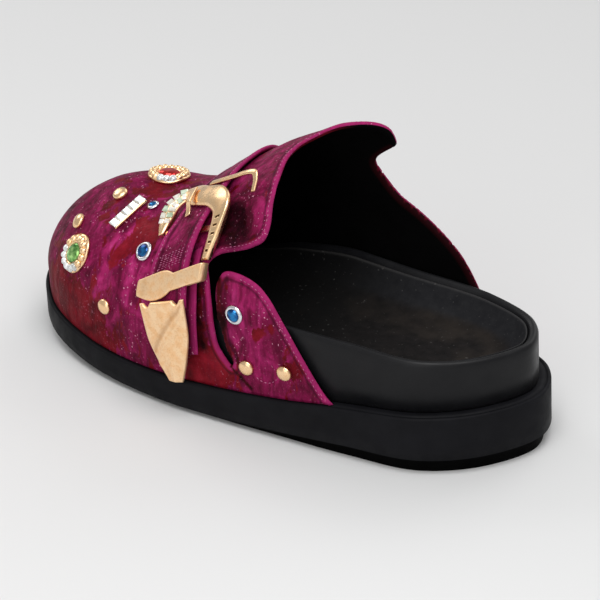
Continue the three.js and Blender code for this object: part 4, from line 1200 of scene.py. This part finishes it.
def cut_cloth():
    """Points of the outer and inner face, distance to the cut edge, kept faces and the ledge's edges."""
    outer, inner = upper_grid()
    rows, columns = outer.shape[:2]
    outer, inner = outer.reshape(-1, 3), inner.reshape(-1, 3)
    kept = np.min(edge_distances(outer), axis=0)
    kept = np.where(np.abs(kept) < EDGE.snap, 0.0, kept)
    faces, cuts = clip_grid(kept, rows, columns)
    start, end, share = (np.array(values) for values in zip(*cuts))
    cut = lambda face: np.vstack([face, mix(face[start], face[end], share[:, None])])
    ledge = [(r * columns + c, (r + 1) * columns + c) for c in (0, columns - 1) for r in range(rows - 1)]
    ledge = [(a, b) for a, b in ledge if kept[a] >= 0 and kept[b] >= 0]
    return cut(outer), cut(inner), np.concatenate([kept, np.zeros(len(cuts))]), faces, ledge


def make_upper():
    outer, inner, kept, faces, ledge = cut_cloth()
    count = len(outer)
    normal = unit(outer - inner)
    hem = EDGE.hem_rise * (1 - smoothstep(EDGE.hem_width - EDGE.hem_soft, EDGE.hem_width, kept))
    dip = EDGE.stitch_dip * bell(kept, EDGE.stitch_at, EDGE.stitch_soft)
    sunk = crease_depth(outer)
    lining = inner - normal * (sunk * EDGE.lining_share)[:, None]
    cloth = outer + normal * (hem - dip - sunk)[:, None]
    middle = (cloth + lining) / 2
    round_off = np.sqrt(1 - (1 - np.clip(kept / EDGE.roll, 0, 1)) ** 2)[:, None]
    points = np.vstack([mix(middle, face, round_off) for face in (cloth, lining)])
    lined = [[i + count for i in reversed(face)] for face in faces]
    closing = [[a, b, b + count, a + count] for a, b in ledge]
    polygons = faces + lined + closing
    slots = [0] * len(faces) + [1] * len(lined) + [0] * len(closing)
    used = np.unique(np.concatenate([np.asarray(face) for face in polygons]))
    renumber = np.full(2 * count, -1)
    renumber[used] = np.arange(len(used))
    red, light = cloth_patches(outer)
    pairs = {"edge": (kept, kept), "red": (red, red), "light": (light, light), "trim": edge_trims(outer)}
    values = {key: np.concatenate(pair)[used] for key, pair in pairs.items()}
    polygons = [renumber[face] for face in polygons]
    made = add_object("upper_cloth", points[used], polygons, [BROCADE, LINING], slots,
                      values=values, weld=EDGE.weld)
    stand_for(made, "upper")
    return cloth, kept, normal, faces


# Stitches along lines of equal distance from an edge
def contour(points, values, normals, faces, level):
    """Chains of points where the values cross a level, with the surface's normal at each."""
    links, spots = {}, {}
    for face in faces:
        hits = []
        for a, b in zip(face, face[1:] + face[:1]):
            if (values[a] >= level) != (values[b] >= level):
                low, high = key = (min(a, b), max(a, b))
                share = (level - values[low]) / (values[high] - values[low])
                spots[key] = [mix(rows[low], rows[high], share) for rows in (points, normals)]
                hits.append(key)
        if len(hits) == 2:
            links.setdefault(hits[0], []).append(hits[1])
            links.setdefault(hits[1], []).append(hits[0])
    chains, unused = [], set(links)
    ends = [key for key in links if len(links[key]) == 1]
    for first in ends + list(links):
        line, here = [], first
        while here in unused:
            unused.discard(here)
            line.append(here)
            here = next((key for key in links[here] if key in unused), None)
        if len(line) > STITCH.shortest_line:
            chains.append(tuple(np.array([spots[key][i] for key in line]) for i in range(2)))
    return chains


def outside_slit(line, normals):
    """The runs of a line that don't follow the slit on the outer flank."""
    hidden = (line[:, 0] > SLIT.x) & (line[:, 2] < SLIT.z) & (line[:, 1] > SPLIT_Y)
    breaks = np.flatnonzero(np.diff(hidden.astype(int))) + 1
    runs = np.split(np.arange(len(line)), breaks)
    shown = [run for run in runs if len(run) > STITCH.shortest_line and not hidden[run[0]]]
    return [(line[run], normals[run]) for run in shown]


def flank_line(rows):
    """Points and normals on the outer flank at rows of x and z."""
    inwards = Vector((0, -1, 0))
    hits = [upper_tree.ray_cast(Vector((x, FLANK_Y, z)), inwards) for x, z in spline(rows, CHAIN_STEPS)]
    return np.array([hit[0] for hit in hits]), np.array([hit[1] for hit in hits])


def stitch_faces():
    rings, sides = STITCH.rings, STITCH.sides
    ends = [list(range(sides)), list(range((rings - 1) * sides, rings * sides))]
    return loop_faces(rings, sides).tolist() + ends


def make_stitches(lines, name):
    """Short rounded stitches along lines of (points, normals)."""
    pitch, half = STITCH.pitch, STITCH.length / 2
    t = np.linspace(0, math.pi, STITCH.rings)[:, None, None]
    turn = full_turn(STITCH.sides)[None, :, None]
    radius = STITCH.radius * np.maximum(np.sin(t), STITCH.end)
    copies = []
    for line, normals in lines:
        distance = np.concatenate([[0], np.cumsum(np.linalg.norm(np.diff(line, axis=0), axis=1))])
        at = lambda d, rows: np.array([np.interp(d, distance, rows[:, k]) for k in range(3)])
        for middle in np.arange(pitch, distance[-1] - pitch, pitch):
            a, b = at(middle - half, line), at(middle + half, line)
            up = unit(at(middle, normals))
            side = unit(np.cross(up, b - a))
            centre = (a + b) / 2 + up * STITCH.lift
            out = np.cos(turn) * side + np.sin(turn) * up
            copies.append((centre - (b - a) / 2 * np.cos(t) + radius * out).reshape(-1, 3))
    points, faces = stacked(copies, stitch_faces())
    add_object(name, points, faces, [THREAD])


# Straps
def strap_seam(wrap, x):
    """A line on the strap's face, with the way up from the face."""
    low = wrap_point(wrap, x, strap_lift_at(wrap))
    high = wrap_point(wrap, x, strap_lift_at(wrap) + STRAP.thickness + STRAP_SEAM.lift)
    return high, high - low


def strap_values(made):
    """Gives a strap the cloth's own values: distance from the edge in millimetres, and share of red."""
    mesh = made.data
    share = np.zeros(len(mesh.vertices), np.float32)
    mesh.attributes["edge"].data.foreach_get("value", share)
    mesh.attributes["edge"].data.foreach_set("value", share * STRAP.half * STRAP.edge_share)
    add_values(mesh, {"red": np.full(len(share), STRAP.red)})


def make_tip_strap():
    first, last = STRAP_LINE[0][0], STRAP_LINE[-1][0]

    def point(u, w, level, raised):
        wrap = mix(first, last, u)
        lift = strap_lift_at(wrap) + level * STRAP.thickness + raised
        return wrap_point(wrap, strap_x_at(wrap) + w * STRAP.half, lift)

    def hem(u, w):
        from_edge = (1 - np.abs(w)) * STRAP.half
        groove = STRAP_HEM.groove * bell(from_edge, STRAP_HEM.groove_at, STRAP_HEM.groove_half)
        return STRAP_HEM.rise * (1 - smoothstep(*STRAP_HEM.edge, from_edge)) - groove

    made = pillow("tip_strap_cloth", point, BROCADE, hem)
    strap_values(made)
    stand_for(made, "tip_strap")
    wrap = mix(first, last, np.linspace(STRAP_SEAM.start, STRAP_SEAM.end, STRAP_SEAM.steps))
    seam_half = STRAP.half - STRAP_HEM.groove_at
    lines = [strap_seam(wrap, strap_x_at(wrap) + side * seam_half) for side in (-1, 1)]
    across = np.linspace(TACK.rear, TACK.front, TACK.steps)
    for level in np.linspace(TACK.low, TACK.high, TACK.rows):
        wrap = np.full(TACK.steps, level)
        lines.append(strap_seam(wrap, strap_x_at(wrap) + across))
    make_stitches(lines, "tip_strap_stitches")


def make_under_strap():
    def point(u, w, level, raised):
        wrap = mix(UNDER_STRAP.start, UNDER_STRAP.end, u)
        x = strap_x_at(wrap) + UNDER_STRAP.shift + w * UNDER_STRAP.half
        return wrap_point(wrap, x, mix(UNDER_STRAP.low, UNDER_STRAP.high, level) + raised)

    made = pillow("under_strap_cloth", point, BROCADE)
    strap_values(made)
    stand_for(made, "under_strap")


# Engraved metal
def line_over(rows):
    """A smooth line over the upper, as the point at a share of its length, moved sideways and lifted."""
    middle = spline([(x, wrap / DEGREES_PER_MM) for wrap, x, *_ in rows], BUCKLE.line_steps)
    way = unit(np.gradient(middle, axis=0))
    shares = np.linspace(0, 1, len(middle))

    def point(u, sideways, lift):
        x, round_rib, way_x, way_round = (np.interp(u, shares, v) for v in (*middle.T, *way.T))
        return wrap_point((round_rib - sideways * way_x) * DEGREES_PER_MM, x + sideways * way_round, lift)

    return point


def along_line(rows, index):
    return column([(i / (len(rows) - 1), row[index]) for i, row in enumerate(rows)], 1)


over_buckle = line_over(BUCKLE_LINE)
buckle_half_at = along_line(BUCKLE_LINE, 2)
buckle_low_at = along_line(BUCKLE_LINE, 3)
buckle_high_at = along_line(BUCKLE_LINE, 4)


def buckle_top_at(u, w):
    return buckle_high_at(u) + BUCKLE.crown * (1 - w**2)


def leg_pits(u, w):
    share = (u - LEG_PITS.start) / (LEG_PITS.end - LEG_PITS.start)
    hole = smoothstep(*LEG_PITS.open, np.sin(share * LEG_PITS.count * 2 * math.pi))
    hole *= smoothstep(LEG_PITS.half + LEG_PITS.soft, LEG_PITS.half, np.abs(w))
    return -LEG_PITS.deep * hole * ((share > 0) & (share < 1))


def make_buckle_frame():
    def horseshoe(u, w, level, raised):
        lift = mix(buckle_low_at(u), buckle_top_at(u, w), level) + raised
        return over_buckle(u, w * buckle_half_at(u), lift)

    def bar(u, w, level, raised):
        wrap = mix(BAR.start[0], BAR.end[0], u) + w * BAR.half * DEGREES_PER_MM
        return wrap_point(wrap, mix(BAR.start[1], BAR.end[1], u), mix(BAR.low, BAR.high, level))

    frame_piece = pillow("buckle_frame_gilt", horseshoe, GOLD, leg_pits)
    stand_for(join([frame_piece, pillow("bar", bar, GOLD)]), "buckle_frame")


def make_prong():
    arch_top = max(row[4] for row in BUCKLE_LINE) + BUCKLE.crown + GAP
    (first, first_x), (last, last_x) = PRONG.start, PRONG.end

    def point(u, w, level, raised):
        wrap = mix(first, last, u)
        climb = np.clip((wrap - first) / (PRONG.over_arch - first), 0, 1)
        low = mix(strap_lift_at(wrap) + STRAP.thickness + GAP, arch_top, climb**2)
        x = mix(first_x, last_x, u) + w * PRONG.half * (1 - PRONG.taper * u)
        return wrap_point(wrap, x, low + level * PRONG.thickness)

    stand_for(pillow("buckle_prong_gilt", point, GOLD), "buckle_prong")


def leg_crystal(cut, u, w, step):
    """A stone's cut, set on the horseshoe at a share of its length and width."""
    base = buckle_top_at(u, w) + GAP - LEG_CRYSTALS.sunk
    at = lambda ahead, sideways, lift: over_buckle(u + ahead, w * buckle_half_at(u) + sideways, base + lift)
    foot = at(0, 0, 0)
    up = unit(at(0, 0, 1) - foot)
    side = at(0, 0.5, 0) - at(0, -0.5, 0)
    side = unit(side - up * (side @ up))
    pitch = np.linalg.norm(at(step / 2, 0, 0) - at(-step / 2, 0, 0))
    half_wide = LEG_CRYSTALS.fill * LEG_CRYSTALS.margin * buckle_half_at(u) / LEG_CRYSTALS.rows
    half_long = LEG_CRYSTALS.fill * pitch / 2
    axes = np.stack([half_wide * side, half_long * np.cross(up, side), LEG_CRYSTALS.height * up])
    return foot + cut @ axes


def make_leg_crystals():
    """Rows of faceted stones on the front leg, every third one pale green."""
    stones, rows = LEG_CRYSTALS.stones, LEG_CRYSTALS.rows
    step = (LEG_CRYSTALS.end - LEG_CRYSTALS.start) / stones
    cut, faces = square_cut(LEG_STONE)
    copies, tints = [], []
    for k in range(stones):
        for row in range(rows):
            w = LEG_CRYSTALS.margin * (2 * (row + 0.5) / rows - 1)
            copies.append(leg_crystal(cut, LEG_CRYSTALS.start + (k + 0.5) * step, w, step))
            tints += [int((rows * k + row) % 3 == 2)] * len(faces)
    points, faces = stacked(copies, faces)
    glass = [GEMS["cream"], GEMS["pale"]]
    stand_for(add_object("buckle_crystals_glass", points, faces, glass, tints, smooth=False),
              "buckle_crystals")


def make_loop():
    over = line_over(LOOP_LINE)
    low_at = along_line(LOOP_LINE, 2)

    def wire(u, w, level, raised):
        return over(u, w * LOOP.half, low_at(u) + level * LOOP.thickness + raised)

    stand_for(pillow("buckle_loop_gilt", wire, GOLD), "buckle_loop")


def keeper_half_at(x):
    """Half width of the keeper's face: plain, then a leaf."""
    share = np.clip((x - KEEPER.leaf_start) / (KEEPER.end - KEEPER.leaf_start), 0, 1)
    leaf = mix(KEEPER.plain, KEEPER.leaf, np.sin(math.pi * share ** KEEPER.skew))
    return np.where(x < KEEPER.leaf_start, KEEPER.plain, leaf)


def keeper_grain(t, w):
    """A stippled ground on the keeper's wide end, its rim, neck and plain end left smooth."""
    leaf = smoothstep(*LEAF_GRAIN.fade_in, t) * smoothstep(*LEAF_GRAIN.fade_out, t)
    leaf = leaf * smoothstep(*LEAF_GRAIN.rim, np.abs(w))
    along_it, across_it = t * LEAF_GRAIN.along, w * LEAF_GRAIN.across
    dots = smoothstep(*LEAF_GRAIN.dot, np.sin(along_it + across_it) * np.sin(along_it - across_it))
    return -LEAF_GRAIN.deep * leaf * dots


def make_keeper():
    """A closed band round the strap, with a rounded section and a stippled face."""
    steps, section = KEEPER.steps, KEEPER.section
    t = np.concatenate([np.linspace(0, 1, steps), np.linspace(1, 0, steps)])[:, None]
    over = (np.arange(2 * steps) >= steps)[:, None]
    phi = full_turn(section)[None]
    square = lambda v: np.sign(v) * np.abs(v) ** 0.5
    sideways = square(np.cos(phi))
    outward = 0.5 + 0.5 * square(np.sin(phi))
    outside = mix(KEEPER.start, KEEPER.end, t)
    inside = mix(KEEPER.start + KEEPER.wall, KEEPER.end - KEEPER.wall, t)
    carved = keeper_grain(t, sideways) * (outward > LEAF_GRAIN.face) * over
    lift = np.where(over, mix(*KEEPER.face, outward), mix(*KEEPER.under[::-1], outward)) + carved
    half = np.where(over, keeper_half_at(outside), KEEPER.plain)
    wrap = KEEPER.wrap + sideways * half * DEGREES_PER_MM
    points = wrap_point(wrap, mix(inside, outside, outward), lift).reshape(-1, 3)
    faces = loop_faces(2 * steps, section, closed_rows=True)
    made = add_object("keeper_gilt", points, faces, [SATIN], values={"relief": carved.ravel()})
    stand_for(made, "keeper")


def tip_relief(u, w):
    """The slanting fold of the strap's tip, with fine hatching on one side of it."""
    inside = smoothstep(*TIP.side_rim, np.abs(w)) * smoothstep(*TIP.top_rim, u)
    from_fold = -w - mix(*TIP_FOLD_AT, u)
    hatch = 0.5 + 0.5 * np.sin(u * TIP_HATCH.along + w * TIP_HATCH.across)
    carved = -TIP_HATCH.deep * hatch * smoothstep(*TIP_HATCH.fade_in, from_fold)
    # The trough row is darkened by the recess colour: painted shade beside the fold
    for middle, half, height in TIP_FOLD:
        carved += height * bell(from_fold, middle, half)
    return inside * carved


def make_strap_tip():
    top, end = np.array(TIP.top, float), np.array(TIP.end, float)
    down = end - top
    out = np.array([0.0, 1.0, 0.0])
    across = unit(np.cross(out, down))

    def point(u, w, level, raised):
        wave = np.maximum(0, np.cos(TIP.waves * math.pi * w))
        notch = np.where(np.abs(w) < TIP.crown, 0, TIP.notch * wave * (1 - u) ** TIP.fade)
        reach = u + (notch - TIP.skew * w) * (1 - u) / TIP.length
        thick = TIP.thickness + TIP.ridge * (1 - np.abs(w))
        sideways, lift = w * tip_half_at(u), level * thick + raised
        return top + down * reach[..., None] + across * sideways[..., None] + out * lift[..., None]

    stand_for(pillow("strap_tip_gilt", point, SATIN, tip_relief), "strap_tip")


# Set stones, studs and crystals, seated where their solids are
Seat = namedtuple("Seat", "foot normal long_way wide_way half")


def solid_points(node_name):
    mesh = nodes[node_name].data
    values = np.zeros(len(mesh.vertices) * 3)
    mesh.vertices.foreach_get("co", values)
    return values.reshape(-1, 3) * 1000 - HEEL_TO_PART


def seat_on(points):
    """Place and axes of a flat solid: its lowest point along the normal, and its half sizes."""
    centre = points.mean(0)
    _, _, axes = np.linalg.svd(points - centre, full_matrices=False)
    normal = axes[2] if axes[2] @ (centre - INSIDE) > 0 else -axes[2]
    wide_way = np.cross(normal, axes[0])
    shares = (points - centre) @ np.stack([axes[0], wide_way, normal], 1)
    return Seat(centre + normal * shares[:, 2].min(), normal, axes[0], wide_way, np.abs(shares).max(0))


def seat_of(node_name):
    return seat_on(np.unique(solid_points(node_name).round(4), axis=0))


def place(seat, points):
    return seat.foot + points @ np.stack([seat.long_way, seat.wide_way, seat.normal])


upper_faces = [tuple(face.vertices) for face in nodes["upper"].data.polygons]
upper_tree = BVHTree.FromPolygons(solid_points("upper").tolist(), upper_faces)


def drape(seat, points):
    """Points over a seat with their height measured from the upper under each of them."""
    flat = place(seat, points * (1, 1, 0))
    normal = Vector(seat.normal)
    found = []
    for spot, height in zip(flat, points[:, 2]):
        hit = upper_tree.ray_cast(Vector(spot) + normal * REACH, -normal)[0]
        found.append(np.array(hit if hit is not None else spot) + seat.normal * (height + GAP))
    return np.array(found)


def beads(radius_long, radius_wide, count, bead, height):
    """A ring of small balls."""
    angles = np.linspace(BEAD.pole, math.pi - BEAD.pole, BEAD.rings)
    ball, faces = turned([(bead * math.sin(a), height - bead * math.cos(a)) for a in angles], BEAD.sides)
    copies = [ball + (radius_long * math.cos(t), radius_wide * math.sin(t), 0) for t in full_turn(count)]
    return stacked(copies, faces)


def bezel_beads(name, seat, count, inner, height, clear_way, clear_degrees):
    """The beads on a bezel, gold or clear by the way in which they lie from its middle."""
    middle = mix(inner, 1, BEAD.middle)
    size = 0.5 * (1 - inner) * seat.half[1] * BEAD.fill
    points, faces = beads(seat.half[0] * middle, seat.half[1] * middle, count, size, height * BEAD.height)
    placed = drape(seat, points)
    centres = placed.reshape(count, -1, 3).mean(1)
    ways = unit(centres - centres.mean(0))
    clear = ways @ unit(np.array(clear_way)) > math.cos(math.radians(clear_degrees))
    slots = np.repeat(clear.astype(int), len(faces) // count)
    return add_object(f"bezel_{name}_beads", placed, faces, [GOLD, GEMS["crystal"]], slots)


def make_stone(name, bead_count, clear_way, clear_degrees, gem):
    seat = seat_of(f"bezel_{name}")
    stone_half = seat_of(f"stone_{name}").half[:2]
    height = STONE.height * seat.half[1] ** 0.5
    inner = float((stone_half / seat.half[:2]).mean()) + STONE.play
    shoulder = mix(inner, 1, 0.5)
    rim = [(inner, 0), (1, 0), (1, 0.3), (0.97, 0.5), (shoulder, 0.62), (inner, 0.8), (inner, 0)]
    points, faces = turned(rim, STONE.bezel_sides)
    placed = drape(seat, points * (*seat.half[:2], height))
    metal = GOLD if bead_count else SILVER
    bezel = add_object(f"bezel_{name}_metal", placed, faces, [metal], weld=WELD)
    if bead_count:
        join([bezel, bezel_beads(name, seat, bead_count, inner, height, clear_way, clear_degrees)])
    stand_for(bezel, f"bezel_{name}")
    points, faces = turned(STONE_CROWN, STONE.sides)
    placed = drape(seat, points * (*stone_half, height))
    cut = add_object(f"stone_{name}_glass", placed, faces, [GEMS[gem]], smooth=False)
    stand_for(cut, f"stone_{name}")


def make_stud(name):
    seat = seat_of(name)
    shoulder = STUD.shoulder
    angles = np.linspace(0, math.pi / 2 - STUD.pole, STUD.dome_steps)
    dome = [(math.cos(a), shoulder + (1 - shoulder) * math.sin(a)) for a in angles]
    points, faces = turned(STUD_FOOT + dome, STUD.sides)
    placed = drape(seat, points * (*seat.half[:2], STUD.height))
    stand_for(add_object(f"{name}_gilt", placed, faces, [GOLD]), name)


def make_crystal_bar():
    """A shallow tray with a row of square stones."""
    seat = seat_on(solid_points("crystal_tray"))
    half_long, half_wide, half_high = seat.half

    def tray(u, w, level, raised):
        shape = np.stack([(2 * u - 1) * half_long, w * half_wide, level * 2 * half_high], -1)
        return place(seat, shape.reshape(-1, 3)).reshape(shape.shape)

    stand_for(pillow("crystal_tray_gilt", tray, GOLD), "crystal_tray")
    pitch = 2 * half_long / CRYSTAL_BAR.stones
    low = 2 * half_high - CRYSTAL_BAR.sunk
    size = (CRYSTAL_BAR.length * pitch, CRYSTAL_BAR.wide * half_wide, CRYSTAL_BAR.height)
    gem, faces = square_cut(BAR_STONE)
    copies = [gem * size + ((k + 0.5) * pitch - half_long, 0, low) for k in range(CRYSTAL_BAR.stones)]
    points, faces = stacked(copies, faces)
    stones = add_object("crystal_stones_glass", place(seat, points), faces, [GEMS["crystal"]], smooth=False)
    stand_for(stones, "crystal_stones")


# Studio
def make_stage():
    reach = STUDIO.floor_reach
    corners = [(-reach, -reach, 0), (reach, -reach, 0), (reach, reach, 0), (-reach, reach, 0)]
    mesh = bpy.data.meshes.new("floor")
    mesh.from_pydata(corners, [], [[0, 1, 2, 3]])
    floor = bpy.data.objects.new("floor", mesh)
    bpy.context.scene.collection.objects.link(floor)
    paper = Surface("floor_paper")
    # Painted light falloff: the floor paper darkens towards the back
    back = paper.spread(paper.place("Y"), (-0.7, 0.5))
    tone = paper.ramp(paper.add(back, paper.times(paper.noise(3, 2, 0.5), 0.1)), FLOOR_GREY)
    mesh.materials.append(paper.dress(Base_Color=tone, Roughness=0.9))
    world = bpy.data.worlds.new("studio")
    world.use_nodes = True
    background = world.node_tree.nodes["Background"]
    background.inputs["Color"].default_value = STUDIO.sky
    background.inputs["Strength"].default_value = STUDIO.sky_strength
    bpy.context.scene.world = world


def make_lights():
    for name, spot, size, watts in LIGHTS:
        lamp = bpy.data.lights.new(name, "AREA")
        lamp.size = size
        lamp.energy = watts
        made = bpy.data.objects.new(name, lamp)
        made.location = spot
        made.rotation_mode = "QUATERNION"
        made.rotation_quaternion = (Vector(LIGHT_AIM) - Vector(spot)).to_track_quat("-Z", "Y")
        bpy.context.scene.collection.objects.link(made)


def make_camera():
    data = bpy.data.cameras.new("camera")
    data.lens = CAMERA.lens_mm
    data.sensor_width = CAMERA.sensor_mm
    made = bpy.data.objects.new("camera", data)
    back = -Vector(CAMERA.aim).normalized()
    right = Vector(CAMERA.up).normalized().cross(back).normalized()
    turn = Matrix((right, back.cross(right), back)).transposed().to_4x4()
    made.matrix_world = Matrix.Translation(Vector(CAMERA.place)) @ turn
    bpy.context.scene.collection.objects.link(made)
    bpy.context.scene.camera = made
    bpy.context.scene.view_settings.view_transform = "Standard"


make_outsole()
make_footbed()
make_insole()
seams = contour(*make_upper(), EDGE.stitch_at)
make_stitches([run for seam in seams for run in outside_slit(*seam)], "upper_stitches")
make_stitches([flank_line(WING_CHAIN)], "wing_chain")
make_under_strap()
make_tip_strap()
make_buckle_frame()
make_prong()
make_leg_crystals()
make_loop()
make_keeper()
make_strap_tip()
for stone, row in STONES.items():
    make_stone(stone, *row)
make_crystal_bar()
for stud in STUDS:
    make_stud(stud)
make_stage()
make_lights()
make_camera()
